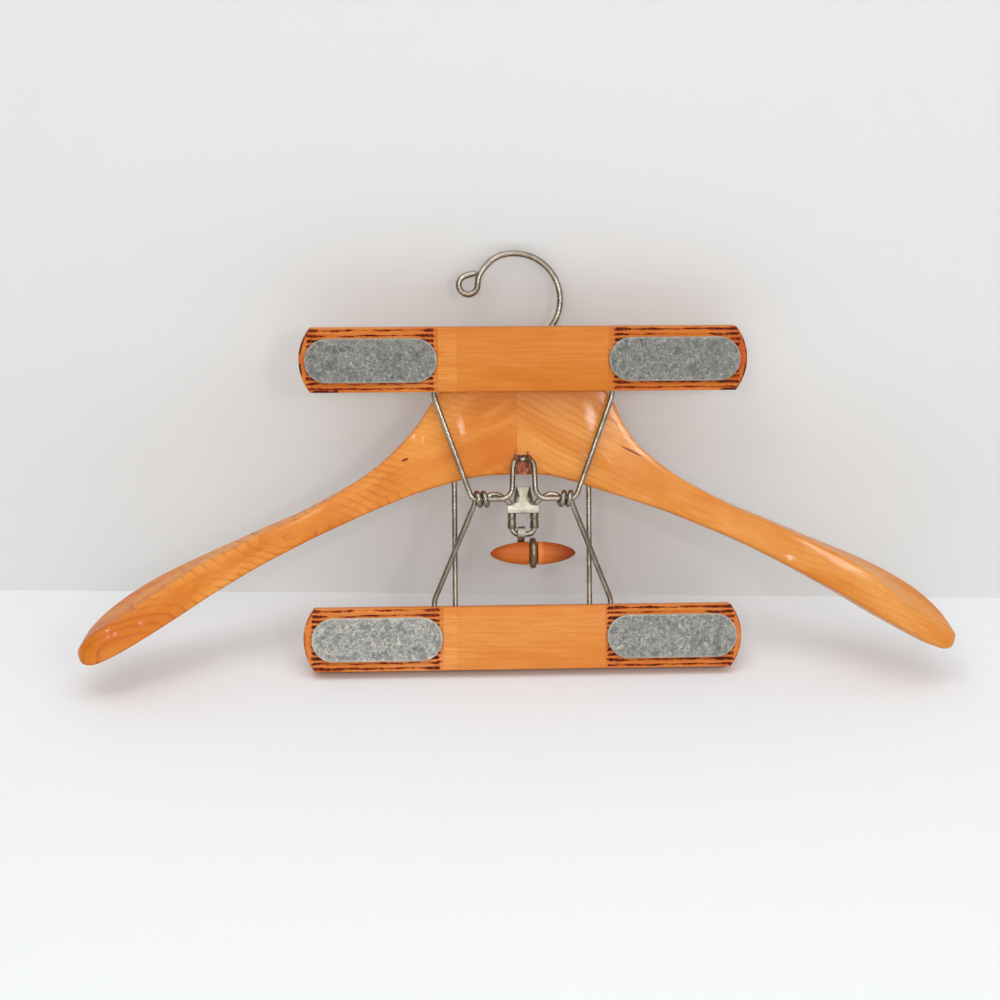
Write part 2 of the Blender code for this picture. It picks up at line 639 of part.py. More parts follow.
def catch_plate(finish):
    """A pressed plate in front of the drop loop, with its two sleeves round the loop's legs."""
    sleeve = FRAME_WIRE / 2 + FIT + SLEEVE_WALL
    back = DROP_BEHIND_AXIS - sleeve + PLATE_BEHIND_SLEEVES
    build = bmesh.new()
    rows = []
    for z, fold, fold_back, edge, edge_back in PLATE_ROWS:
        halves = ((-edge, edge_back), (-fold, fold_back), (fold, fold_back), (edge, edge_back))
        rows.append([build.verts.new((x * MM, back - SHEET + y * MM, z * MM)) for x, y in halves])
    for upper, lower in zip(rows, rows[1:]):
        for k in range(3):
            build.faces.new((upper[k], lower[k], lower[k + 1], upper[k + 1]))
    obj = object_from_bmesh("catch_plate", build)
    obj.data.transform(Matrix.Translation(CLAMP_AXIS))
    placed(obj, finish, smooth_angle=30)
    wall = obj.modifiers.new("sheet", "SOLIDIFY")
    wall.thickness = SHEET
    wall.offset = -1
    for side in (-1, 1):
        middle = CLAMP_AXIS + Vector((side * DROP_HALF_WIDTH, DROP_BEHIND_AXIS, -SLEEVE_TOP - SLEEVE_LENGTH / 2))
        tube = cutter(f"sleeve_{side}", cylinder(sleeve, SLEEVE_LENGTH, 20), Matrix.Translation(middle))
        union(obj, tube)
        bore = cutter(f"sleeve_bore_{side}", cylinder(FRAME_WIRE / 2 + FIT, SLEEVE_LENGTH + 6 * CUT_PAST, 20),
                      Matrix.Translation(middle))
        subtract(obj, bore)
    return obj


def ribbon(name, route, thickness, width, axis):
    """A strip of sheet: the route is its middle line, and it is width wide along the axis."""
    build = bmesh.new()
    lines = []
    for side in (-0.5, 0.5):
        lines.append([build.verts.new(Vector(p) + Vector(axis) * width * side) for p in route])
    for i in range(len(route) - 1):
        build.faces.new((lines[0][i], lines[0][i + 1], lines[1][i + 1], lines[1][i]))
    obj = object_from_bmesh(name, build)
    wall = obj.modifiers.new("sheet", "SOLIDIFY")
    wall.thickness = thickness
    wall.offset = 0
    return obj


def pull_tongue(finish, parent):
    """A strip curled over the drop loop's foot, running down behind the grip to a saddle on the ring."""
    curl = FRAME_WIRE / 2 + TONGUE_CURL_FIT + TONGUE_THICKNESS / 2
    saddle_radius = RING_WIRE / 2 + FIT + TONGUE_THICKNESS / 2
    ring_back = -GRIP_FORWARD + RING_RADIUS
    strip_back = ring_back + saddle_radius
    x = TONGUE_OFFSET
    route = []
    for angle in range(230, -31, -20):
        # From below the wire up its front, over its top and down behind it
        turn = math.radians(angle)
        stretch = TONGUE_RISE if angle > 0 and angle < 180 else 0
        route.append(Vector((x, curl * math.cos(turn), curl * math.sin(turn) + stretch)))
    clear = GRIP_DIAMETER / 2 + FIT + TONGUE_THICKNESS / 2
    for angle in (58, 38):
        # Past the grip's upper rear side
        turn = math.radians(angle)
        route.append(Vector((x, clear * math.cos(turn) - GRIP_FORWARD, clear * math.sin(turn) - GRIP_DROP)))
    route.append(Vector((x, strip_back, -GRIP_DROP + SADDLE_HEIGHT / 2)))
    route.append(Vector((x, strip_back, -GRIP_DROP - SADDLE_HEIGHT / 2)))
    strip = ribbon("pull_tongue", route, TONGUE_THICKNESS, TONGUE_WIDTH, (1, 0, 0))
    placed(strip, finish, parent, smooth_angle=35)
    around = [Vector((x, strip_back, -GRIP_DROP))]
    for angle in range(90, 19, -14):
        # Round the back and the far side of the ring, clear of the grip's shoulder
        turn = math.radians(angle)
        around.append(Vector((GRIP_OFFSET + saddle_radius * math.cos(turn),
                              ring_back + saddle_radius * math.sin(turn), -GRIP_DROP)))
    saddle = ribbon("ring_saddle", around, TONGUE_THICKNESS, SADDLE_HEIGHT, (0, 0, 1))
    CUTTERS.objects.link(saddle)
    saddle.parent = parent
    saddle.hide_render = True
    saddle.display_type = "WIRE"
    union(strip, saddle)
    return strip


def pull_ring(finish, parent):
    build = bmesh.new()
    steps, sides = 40, 10
    rings = []
    for i in range(steps):
        around = 2 * math.pi * i / steps
        ring = []
        for k in range(sides):
            turn = 2 * math.pi * k / sides
            reach = RING_RADIUS + RING_WIRE / 2 * math.cos(turn)
            ring.append(build.verts.new((RING_WIRE / 2 * math.sin(turn), reach * math.cos(around),
                                         reach * math.sin(around))))
        rings.append(ring)
    for i in range(steps):
        for k in range(sides):
            build.faces.new((rings[i - 1][k - 1], rings[i - 1][k], rings[i][k], rings[i][k - 1]))
    bmesh.ops.recalc_face_normals(build, faces=build.faces)
    obj = object_from_bmesh("pull_ring", build)
    placed(obj, finish, parent, smooth_angle=60)
    obj.location = (GRIP_OFFSET, -GRIP_FORWARD, -GRIP_DROP)
    return obj


def toggle_grip(finish, parent):
    """A turned spindle with pointed ends and a groove for the ring, its axis along X."""
    half_length = GRIP_LENGTH / 2
    floor_half = RING_WIRE / 2 + RUNNING_FIT
    right = [(floor_half, GROOVE_DIAMETER / 2)]
    for i in range(GRIP_STATIONS):
        # Stations crowd together towards the pointed end
        share = math.sin(math.pi / 2 * i / GRIP_STATIONS)
        x = floor_half + GROOVE_SIDE + share * (half_length - floor_half - GROOVE_SIDE)
        right.append((x, GRIP_DIAMETER / 2 * (1 - (x / half_length) ** 2) ** GRIP_FULLNESS))
    right.append((half_length, 0.0))
    profile = [(-x, r) for x, r in reversed(right)] + right
    build = bmesh.new()
    verts = [build.verts.new((r, 0, x)) for x, r in reversed(profile)]
    edges = [build.edges.new(pair) for pair in zip(verts, verts[1:])]
    bmesh.ops.spin(build, geom=verts + edges, axis=(0, 0, 1), cent=(0, 0, 0), angle=2 * math.pi, steps=24,
                   use_merge=True)
    bmesh.ops.remove_doubles(build, verts=build.verts, dist=0.01 * MM)
    bmesh.ops.recalc_face_normals(build, faces=build.faces)
    build.transform(Matrix.Rotation(math.pi / 2, 4, "Y"))
    obj = placed(object_from_bmesh("toggle_grip", build), finish, parent, smooth_angle=30)
    obj.location = (GRIP_OFFSET, -GRIP_FORWARD, -GRIP_DROP)
    return obj


clear_scene()
PARTS = make_collection("suit_hanger")
CUTTERS = make_collection("cutters")

BODY_WOOD = material("lacquered_maple", (0.66, 0.27, 0.07), 0.28)
DOWEL_WOOD = material("bare_dowel", (0.62, 0.42, 0.22), 0.7)
BAR_WOOD = material("bar_maple", (0.70, 0.31, 0.10), 0.35)
GRIP_WOOD = material("red_brown_grip", (0.46, 0.13, 0.03), 0.3)
STEEL_WIRE = material("nickelled_wire", (0.52, 0.48, 0.42), 0.32, 1.0)
PRESSED_STEEL = material("pressed_steel", (0.55, 0.52, 0.46), 0.38, 1.0)
FELT = material("grey_felt", (0.27, 0.28, 0.29), 0.95)

body_half("body_left_half", -1, TOP_LEFT, RIDGE_DROP_LEFT, UNDERSIDE_LEFT, BODY_WOOD)
body_half("body_right_half", 1, TOP_RIGHT, RIDGE_DROP_RIGHT, UNDERSIDE_RIGHT, BODY_WOOD)
for dowel_name, dowel_height in zip(("seam_dowel_lower", "seam_dowel_upper"), SEAM_DOWEL_HEIGHTS):
    seam_dowel(dowel_name, dowel_height, DOWEL_WOOD)
hook(STEEL_WIRE)
suspension_wire("suspension_wire_left", -1, UNDERSIDE_LEFT, STEEL_WIRE)
suspension_wire("suspension_wire_right", 1, UNDERSIDE_RIGHT, STEEL_WIRE)

# The rear bar hangs in the body's plane, with the drop loop's frame in it
rear_place = Matrix.Translation((CLAMP_OFFSET, 0, AXIS_HEIGHT - BAR_CENTRE_DROP))
wire_holes = [(side * LEG_AT_BAR, WIRE_IN_WOOD) for side in (-1, 1)]
suspension_holes = [(side * SUSPENSION_HALF_SPACING, WIRE_IN_WOOD) for side in (-1, 1)]
bar("rear_bar", BAR_WOOD, REAR_BAR_LENGTH, rear_place, wire_holes + suspension_holes, REAR_PADS)
pad("rear_felt_left", FELT, -REAR_PADS[0], rear_place)
pad("rear_felt_right", FELT, REAR_PADS[1], rear_place)
fixed_frame = empty("fixed_frame_axis", CLAMP_AXIS)
rear_route = rear_frame_route()
wire("rear_frame_wire", rear_route, FRAME_WIRE, STEEL_WIRE, fixed_frame, sides_level=1)
print(f"rear_frame_wire: least gap between its turns {least_gap(rear_route, FRAME_WIRE) / MM:.2f} mm")
catch_plate(PRESSED_STEEL)

# The swinging half is built as it lies when shut, then turned open about the hinge axis
clamp_pivot = empty("clamp_pivot", CLAMP_AXIS)
shut_bar = Matrix.Translation((0, CLOSED_BAR_SHIFT, -BAR_CENTRE_DROP)) @ Matrix.Rotation(math.pi, 4, "Z")
front_place = Matrix.Translation(CLAMP_AXIS) @ Matrix.Rotation(-CLAMP_SWING, 4, "X") @ shut_bar
bar("front_bar", BAR_WOOD, FRONT_BAR_LENGTH, front_place, wire_holes, FRONT_PADS[::-1], clamp_pivot)
pad("front_felt_left", FELT, FRONT_PADS[0], front_place, clamp_pivot)
pad("front_felt_right", FELT, -FRONT_PADS[1], front_place, clamp_pivot)
wire("front_frame_wire", front_frame_route(), FRAME_WIRE, STEEL_WIRE, clamp_pivot)

# The pull hangs on the drop loop's foot
pull_pivot = empty("pull_pivot", PULL_PIVOT)
pull_tongue(PRESSED_STEEL, pull_pivot)
pull_ring(STEEL_WIRE, pull_pivot)
toggle_grip(GRIP_WOOD, pull_pivot)
print(f"clamp swing {math.degrees(CLAMP_SWING):.2f} degrees")
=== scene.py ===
"""Looks of the wooden suit hanger with its trouser clamp open.

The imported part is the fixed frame. Each visible piece is shaped again here, finer and in the same place, and
gets its finish: lacquered maple, scorched pad seats, grey felt, aged nickel wire and pressed steel.
Metres, +Z up, +X to the right, -Y towards the viewer. Lengths are written in millimetres times MM.
"""

import json
import math

import bmesh
import bpy
import numpy as np
from mathutils import Matrix, Vector, noise


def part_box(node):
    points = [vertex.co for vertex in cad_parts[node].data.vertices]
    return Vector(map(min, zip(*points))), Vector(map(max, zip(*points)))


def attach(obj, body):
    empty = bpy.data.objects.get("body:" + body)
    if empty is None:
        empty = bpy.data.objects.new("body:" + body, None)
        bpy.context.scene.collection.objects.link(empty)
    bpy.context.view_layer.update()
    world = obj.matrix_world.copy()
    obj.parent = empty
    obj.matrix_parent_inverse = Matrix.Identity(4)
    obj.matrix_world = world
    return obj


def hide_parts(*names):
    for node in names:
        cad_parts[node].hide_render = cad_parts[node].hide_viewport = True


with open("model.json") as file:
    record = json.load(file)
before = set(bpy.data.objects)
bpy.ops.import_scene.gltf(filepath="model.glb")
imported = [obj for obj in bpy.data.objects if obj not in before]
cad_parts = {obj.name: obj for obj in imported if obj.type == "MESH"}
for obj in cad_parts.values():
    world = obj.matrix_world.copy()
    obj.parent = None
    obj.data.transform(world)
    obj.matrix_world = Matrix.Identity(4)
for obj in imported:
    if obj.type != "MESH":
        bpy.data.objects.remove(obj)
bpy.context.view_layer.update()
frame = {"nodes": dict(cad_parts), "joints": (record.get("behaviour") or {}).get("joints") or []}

MM = 0.001

# The camera, as fitted to the photograph about a point near the clamp's hinge
CAMERA_AIM = Vector((-9.23, -12.5, -124.86)) * MM
CAMERA_TURN = math.radians(4.6)
CAMERA_RISE = math.radians(1.37)
CAMERA_ROLL = math.radians(-0.498)
CAMERA_DISTANCE = 1524 * MM
CAMERA_LENS = 107.43
CAMERA_SENSOR = 36

# The hanger stands on its rear bar and leans back towards a wall that runs a little nearer on the right
LEAN = math.radians(23.5)
UP = Vector((0, -math.sin(LEAN), math.cos(LEAN)))
BACK = Vector((0, math.cos(LEAN), math.sin(LEAN)))
WALL_DEPTH = 6.1 * MM
WALL_YAW = math.radians(-2.69)
WALL_HEIGHT = 2
TABLE_REACH = 3
STAGE_HALF_WIDTH = 2.5

# Axes of the moving bodies
AXES = {joint["name"]: Vector(joint["pos_m"]) for joint in frame["joints"]}
HINGE = AXES["clamp_fold"]
PULL_AXIS = AXES["pull_swing"]
GRIP_AXIS = AXES["toggle_spin"]
CLAMP_SWING = math.radians(174)

# Wooden body: outlines as (distance from the seam, height above the hinge) in millimetres
TOP_LEFT = (
    (0, 70), (15, 69.4), (27, 66.2), (36, 59.2), (43.3, 49.4), (49.5, 39.4), (57.4, 30.1), (67.5, 20.4),
    (79.7, 11.3), (95, 2.6), (112, -5.8), (130, -13.4), (147, -20.9), (165, -28.6), (181.2, -36.1),
    (195, -44), (207.5, -53), (216.5, -61.6), (221.4, -69.2), (223.2, -74))
TOP_RIGHT = (
    (0, 70), (17, 69.4), (31, 66.4), (42, 60.2), (50, 49.5), (54.5, 39.6), (59.5, 31.2), (67.5, 22.9),
    (79.7, 13.3), (95, 4.8), (112, -3.5), (130, -11.1), (147, -18.5), (165, -26.1), (181.2, -33.1),
    (195, -40.1), (207.5, -48.4), (216.5, -57.3), (221.4, -65), (223.4, -71))
UNDERSIDE_LEFT = (
    (0, 12.4), (14, 12), (26, 10.2), (38, 7), (51, 3.2), (64, -1.7), (77, -6.9), (90, -12.6),
    (103, -18.5), (116, -24.9), (129, -31.3), (142, -38.5), (155, -46.1), (168, -54.2), (184, -64.3),
    (197, -71.9), (208, -77.6), (216, -80.5), (221.4, -79.3), (223.2, -74))
UNDERSIDE_RIGHT = (
    (0, 12.4), (14, 12), (26, 9.6), (38, 5.8), (51, 1.5), (64, -2.7), (77, -7.3), (90, -12.5),
    (103, -18), (116, -23.9), (129, -30.3), (142, -37.2), (155, -44.5), (168, -52), (184, -61.9),
    (197, -69.3), (208, -75.3), (216, -78.4), (221.4, -77), (223.4, -71))
# How far the front ridge lies under the top edge, and the depth from front to back
RIDGE_DROP_LEFT = (
    (0, 0), (60, 0), (80, 0.3), (110, 2.2), (140, 2.8), (160, 4), (181, 7.4), (195, 8.6), (207, 7.6),
    (216, 4.2), (223.2, 0.6))
RIDGE_DROP_RIGHT = (
    (0, 0), (60, 0), (80, 0.3), (110, 2.2), (140, 2.8), (160, 4), (175, 6), (188, 10.7), (195, 14.4),
    (207, 17.5), (216, 13), (223.4, 3))
SHOULDER_DEPTH = (
    (0, 15), (60, 15), (90, 15), (120, 17.5), (150, 22), (180, 27), (200, 28.5), (212, 25), (218, 19),
    (221.5, 12), (223.4, 5))
SHOULDER_CURL = 24 * MM
CURL_START = 62 * MM
CURL_POWER = 1.7
# Edge radii, from the rear top edge round over the front ridge and the underside
EDGE_RADII = (3.0 * MM, 1.7 * MM, 2.2 * MM, 3.0 * MM)
# On the right the front ridge fades out between these distances from the seam, over a much rounder edge
RIDGE_FADE = (184 * MM, 206 * MM)
FADED_RADIUS = 9 * MM
# A section's rounded corners take up at most this share of a side and have so many points. Then the
# parts into which a side is divided
CORNER_SHARE = 0.45
CORNER_POINTS = 9
SIDE_PARTS = 6
BODY_STATIONS = 150
# The ridge never drops by more than this share of the shoulder's height
DROP_SHARE = 0.6
SEAM_GAP = 0.04 * MM
# Waves left by sanding: their height, the share of it that all is sunk by, their length, and how they
# fade in from the seam and from the tip
SANDING_WAVES = 0.16 * MM
SANDING_SUNK = 0.3
SANDING_LENGTH = 26 * MM
SANDING_FROM_SEAM = 12 * MM
SANDING_FROM_TIP = 30 * MM
# Holes of the hook's stem and of the suspension wires, which start at heights above the hinge
STEM_HOLE = 3.6 * MM
STEM_HOLE_START = 45 * MM
WIRE_HOLE = 3.2 * MM
WIRE_HOLE_START = -15 * MM
BODY_HOLE_LENGTH = 30 * MM
SUSPENSION_HALF_SPACING = 34.7 * MM
# The wood's looks: where the grain changes from the neck to the shoulder, and how deep a mark lies
NECK_GRAIN_END = 35 * MM
ARM_GRAIN_START = 85 * MM
MARK_DEPTH = 4 * MM

# Notch for the catch loop's crown, measured from the hinge
NECK_FACE = 5.0 * MM
NOTCH_FRONT = -20 * MM
NOTCH_LOW = 4 * MM
NOTCH_TOP = 22.5 * MM
NOTCH_ROUND = 2.2 * MM
NOTCH_HALF_WIDTH = 5.15 * MM
NOTCH_BACK = 7.65 * MM
NOTCH_TORN = 0.55 * MM
# Torn marks above it: (x in millimetres, tilt in degrees), their place, then two radii and the length
TORN_MARKS = ((-3.3, 8), (2.6, -6))
TORN_MARK_BACK = 4.7 * MM
TORN_MARK_RISE = 0.9 * MM
TORN_MARK_RADII = (1.3 * MM, 0.4 * MM)
TORN_MARK_LENGTH = 3.6 * MM

# Hook
HOOK_WIRE = 3.2 * MM
HOOK_RADIUS = 23.7 * MM
HOOK_NECK_ANGLE = -74
HOOK_ARC_END = 108
HOOK_TIP = ((-11.4, 20.2), (-16.0, 15.5), (-18.2, 11.4))
HOOK_EYE_CENTRE = (-23.7, 7.6)
HOOK_EYE_RADIUS = 4.85 * MM
HOOK_EYE_START = 4
HOOK_EYE_END = 112
HOOK_EYE_TIP = ((-23.4, 12.8), (-21.6, 13.3), (-19.8, 13.7))
HOOK_STEM_FOOT = -81.4 * MM

# Clamp bars
BAR_HEIGHT = 32.6 * MM
BAR_THICKNESS = 12.5 * MM
BAR_FACE = -BAR_THICKNESS / 2
BAR_END_BULGE = 5.8 * MM
BAR_END_ROUND = 25.8 * MM
BAR_EDGE = 0.9 * MM
BAR_BELOW_AXIS = 55.2 * MM
BAR_CENTRE_DROP = BAR_BELOW_AXIS + BAR_HEIGHT / 2
BAR_GRAIN_FROM_CENTRE = Vector((0, 60, 45)) * MM
SHUT_BAR_SHIFT = -4.0 * MM
# Points on each rounded end of a bar or pad, and how far a cutting tool reaches past the wood
END_POINTS = 25
TOOL_PAST = 1 * MM

# Felt pads. PAD_RIM is how wide the paler rim is, in millimetres
PAD_LENGTH = 67.4 * MM
PAD_WIDTH = 22.6 * MM
PAD_THICKNESS = 2.0 * MM
PAD_EDGE = 0.7 * MM
PAD_VOXEL = 0.45 * MM
PAD_RIM = 1.2
FRONT_PADS = (78.0 * MM, 77.0 * MM)
REAR_PADS = (75.4 * MM, 76.7 * MM)
PAD_STANDOFF = 0.3 * MM
# Tufts of the matted felt, fine and broad: (size, rise in millimetres), and how far they are sunk
FINE_TUFTS = (1.5 * MM, 0.09)
BROAD_TUFTS = (9 * MM, 0.12)
TUFTS_SUNK = 0.1

# Pad seats with their grooves. A cut groove starts at CUT_START, and the burn on it further in
SEAT_RECESS = 0.5 * MM
GROOVE_ROWS = 12
GROOVE_PITCH = 2.7 * MM
GROOVE_RADIUS = 1.1 * MM
GROOVE_DEPTH = 0.25 * MM
GROOVE_FROM_END = 3.7 * MM
CUT_START = 0.3 * MM
CUT_RAGGED = 1.2 * MM
GROOVE_FROM_SEAT = 1.4 * MM
GROOVE_RAGGED = 5 * MM

# Clamp wires
FRAME_WIRE = 2.8 * MM
WIRE_IN_WOOD = 12 * MM
LEG_AT_BAR = 45.6 * MM
LEG_STRAIGHT = 3 * MM
LEG_BEND = 10 * MM
RUN_END = 26.6 * MM
RUN_BEND = 4.4 * MM
COIL_START = 24.95 * MM
COIL_PITCH = 3.4 * MM
# Points in one turn, and in the whole coil of two turns and a little more
COIL_STEPS = 48
COIL_POINTS = 2 * COIL_STEPS + 4
COIL_RADIUS = 3.15 * MM
BELOW_COIL = (-0.3, 0.3, -3)
LOOP_HALF_WIDTH = 6.1 * MM
LOOP_HEIGHT = 20.2 * MM
LOOP_FOOT_BEND = 6 * MM
LOOP_CROWN_RADIUS = 3.4 * MM
LOOP_CROWN_REACH = 2.5 * MM
LOOP_SHOULDER = ((0.6, 0, -4.5), (1.3, 0.5, -1.6))
DROP_BEHIND_AXIS = 5.5 * MM
DROP_HALF_WIDTH = 5.8 * MM
DROP_DEPTH = 18.3 * MM
DROP_BEND = 3.6 * MM
DROP_LEAD = 0.4 * MM
CROSSING_FROM_COIL = ((1.6, 0.2, 0.9), (5.2, 0.9, 0.7))
DROP_SHOULDER = (-1.9, -0.6, 3.1)

# Catch plate
SHEET = 0.8 * MM
SHEET_EDGE = 0.16 * MM
SLEEVE_WALL = 0.5 * MM
SLEEVE_EDGE = 0.12 * MM
SLEEVE_RADIUS = 2.2 * MM
SLEEVE_TOP = 4.8 * MM
SLEEVE_LENGTH = 10.6 * MM
# The sleeve is nipped in at its middle: (share of the length from the top, share of the width)
SLEEVE_NIP = ((0, 1), (0.35, 1), (0.5, 0.99), (0.56, 0.91), (0.62, 0.91), (0.68, 0.98), (0.8, 1), (1, 1.02))
PLATE_BEHIND_SLEEVES = 0.35 * MM
# Height, half width at the fold and how far it stands back, the same at the edge, in millimetres
PLATE_ROWS = (
    (6.2, 3.2, 0, 3.8, 0.3), (3.6, 2.4, 0, 4.2, 1.1), (1.2, 1.8, 0, 4.7, 1.4), (-1.0, 1.9, 0, 5.2, 1.2),
    (-2.8, 3.4, 0, 6.2, 0.6), (-3.9, 5.4, 0, 8.1, 0), (-5.9, 5.8, 0, 8.1, 0), (-7.2, 5.6, -0.5, 7.8, -0.9))
WINGS_END = -3.4 * MM

# Pull tongue, ring and grip
TONGUE_WIDTH = 3.7 * MM
TONGUE_THICKNESS = 1.0 * MM
TONGUE_EDGE = 0.15 * MM
TONGUE_CURL_FIT = 0.5 * MM
TONGUE_CLEARANCE = 0.3 * MM
TONGUE_RISE = 1.2 * MM
TONGUE_OFFSET = -1.0 * MM
# Angles in degrees: the curl over the loop's foot, the way down behind the grip, and the saddle's sweep
CURL_ANGLES = range(230, -31, -20)
BEHIND_GRIP_ANGLES = (58, 38)
SADDLE_ANGLES = range(90, 19, -7)
SADDLE_HEIGHT = 3.0 * MM
RING_WIRE = 3.4 * MM
RING_RADIUS = 6.25 * MM
GRIP_LENGTH = 44 * MM
GRIP_DIAMETER = 12.2 * MM
GRIP_FULLNESS = 0.58
GRIP_GROOVE_DIAMETER = 8.4 * MM
GRIP_GROOVE_HALF = 1.95 * MM
GRIP_GROOVE_SIDE = 0.3 * MM
GRIP_GROOVE_EDGE = 0.35 * MM


# Shapes shared by several pieces

def smooth_through(points, steps):
    """A Catmull-Rom curve through the points, with steps pieces between each pair."""
    p = np.array([tuple(q) for q in points], float)
    p = np.vstack([2 * p[0] - p[1], p, 2 * p[-1] - p[-2]])
    made = []
    for i in range(1, len(p) - 2):
        for t in np.arange(steps) / steps:
            made.append(0.5 * (2 * p[i] + (p[i + 1] - p[i - 1]) * t
                               + (2 * p[i - 1] - 5 * p[i] + 4 * p[i + 1] - p[i + 2]) * t**2
                               + (3 * p[i] - p[i - 1] - 3 * p[i + 1] + p[i + 2]) * t**3))
    made.append(p[-2])
    return [Vector(q) for q in made]


def bend(before, corner, after, radius, steps=16):
    """Points on the arc of this radius that rounds a corner between two straight runs."""
    corner = Vector(corner)
    u = (Vector(before) - corner).normalized()
    v = (Vector(after) - corner).normalized()
    half = u.angle(v) / 2
    centre = corner + (u + v).normalized() * radius / math.sin(half)
    start = corner + u * radius / math.tan(half) - centre
    end = corner + v * radius / math.tan(half) - centre
    sweep = start.angle(end)
    made = []
    for i in range(steps + 1):
        turned = start * math.sin((1 - i / steps) * sweep) + end * math.sin(i / steps * sweep)
        made.append(centre + turned / math.sin(sweep))
    return made


def mirrored(route):
    """The route carried on through the plane X = 0 to its mirror image."""
    other = [Vector((-p.x, p.y, p.z)) for p in reversed(route)]
    if (route[-1] - other[0]).length < 0.1 * MM:
        other = other[1:]
    return route + other


def shown_mesh(piece):
    """A new mesh of what a piece's modifiers or curve settings show."""
    bpy.context.view_layer.update()
    shown = piece.evaluated_get(bpy.context.evaluated_depsgraph_get())
    return bpy.data.meshes.new_from_object(shown)


def settle(piece):
    """Makes what the modifiers show the piece's own mesh."""
    mesh = shown_mesh(piece)
    piece.modifiers.clear()
    piece.data = mesh


def linked(name, data):
    """An object at the origin, linked into the scene."""
    piece = bpy.data.objects.new(name, data)
    bpy.context.scene.collection.objects.link(piece)
    return piece


def solid(name, build):
    """An object at the origin from a bmesh."""
    mesh = bpy.data.meshes.new(name)
    build.to_mesh(mesh)
    build.free()
    return linked(name, mesh)


def carve(piece, *tools):
    """Cuts the tools out of the piece for good."""
    for tool in tools:
        cut = piece.modifiers.new(tool.name, "BOOLEAN")
        cut.solver = "EXACT"
        cut.operation = "DIFFERENCE"
        cut.object = tool
    settle(piece)
    for tool in tools:
        bpy.data.objects.remove(tool)


def finished(piece, finish, body, replaces, smooth_angle):
    """Gives a piece its finish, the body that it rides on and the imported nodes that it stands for."""
    piece.data.materials.clear()
    piece.data.materials.append(finish)
    piece.data.shade_smooth()
    piece.data.set_sharp_from_angle(angle=math.radians(smooth_angle))
    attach(piece, body)
    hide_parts(*replaces)


def verts_in(drawn):
    """The vertices among what an extrusion has drawn."""
    return [v for v in drawn if isinstance(v, bmesh.types.BMVert)]


def edges_in(drawn):
    """The edges among what an extrusion has drawn."""
    return [e for e in drawn if isinstance(e, bmesh.types.BMEdge)]


def cylinder_along(build, place, direction, radius, length, segments=32):
    """Adds a cylinder that runs from place in a direction."""
    direction = Vector(direction).normalized()
    turn = direction.to_track_quat("Z", "Y").to_matrix().to_4x4()
    middle = Matrix.Translation(Vector(place) + direction * length / 2)
    bmesh.ops.create_cone(build, cap_ends=True, segments=segments, radius1=radius, radius2=radius,
                          depth=length, matrix=middle @ turn)


def thickened(piece, thickness, offset, broken_edge):
    """Gives a sheet its thickness and breaks its edges. An offset of -1 lets it grow to one side only."""
    wall = piece.modifiers.new("sheet", "SOLIDIFY")
    wall.thickness = thickness
    wall.offset = offset
    edge = piece.modifiers.new("edge", "BEVEL")
    edge.width = broken_edge
    edge.segments = 2
    edge.angle_limit = math.radians(40)
    settle(piece)
    return piece


# A cut wire end is broken over this share of the diameter: (share of that stretch, share of the radius)
BROKEN_STRETCH = 0.14
BROKEN_STEPS = ((0.0, 0.72), (0.35, 0.9), (1.0, 1.0))


def wire(name, route, diameter, finish, body, replaces):
    """A round wire along the route, its cut ends a little broken."""
    curve = bpy.data.curves.new(name, "CURVE")
    curve.dimensions = "3D"
    curve.bevel_depth = diameter / 2
    curve.bevel_resolution = 6
    curve.use_fill_caps = True
    first, last = Vector(route[0]), Vector(route[-1])
    start = (Vector(route[1]) - first).normalized()
    end = (Vector(route[-2]) - last).normalized()
    broken = BROKEN_STRETCH * diameter
    stops = [(first + start * (part * broken), share) for part, share in BROKEN_STEPS]
    stops += [(Vector(p), 1.0) for p in route[1:-1]]
    stops += [(last + end * (part * broken), share) for part, share in reversed(BROKEN_STEPS)]
    spline = curve.splines.new("POLY")
    spline.points.add(len(stops) - 1)
    for point, (place, share) in zip(spline.points, stops):
        point.co = (*place, 1)
        point.radius = share
    spline.use_smooth = True
    made = curve_to_mesh(linked(name, curve))
    finished(made, finish, body, replaces, smooth_angle=40)


def curve_to_mesh(piece):
    """Turns a curve into a mesh object of the same name."""
    mesh = shown_mesh(piece)
    name = piece.name
    bpy.data.objects.remove(piece)
    build = bmesh.new()
    build.from_mesh(mesh)
    bmesh.ops.remove_doubles(build, verts=build.verts, dist=0.005 * MM)
    bmesh.ops.recalc_face_normals(build, faces=build.faces)
    build.to_mesh(mesh)
    build.free()
    return linked(name, mesh)


# Finishes

def tint(red, green, blue):
    """A colour as seen on screen, from 0 to 255, as linear light."""
    def linear(value):
        share = value / 255
        return share / 12.92 if share <= 0.04045 else ((share + 0.055) / 1.055) ** 2.4
    return (linear(red), linear(green), linear(blue), 1)


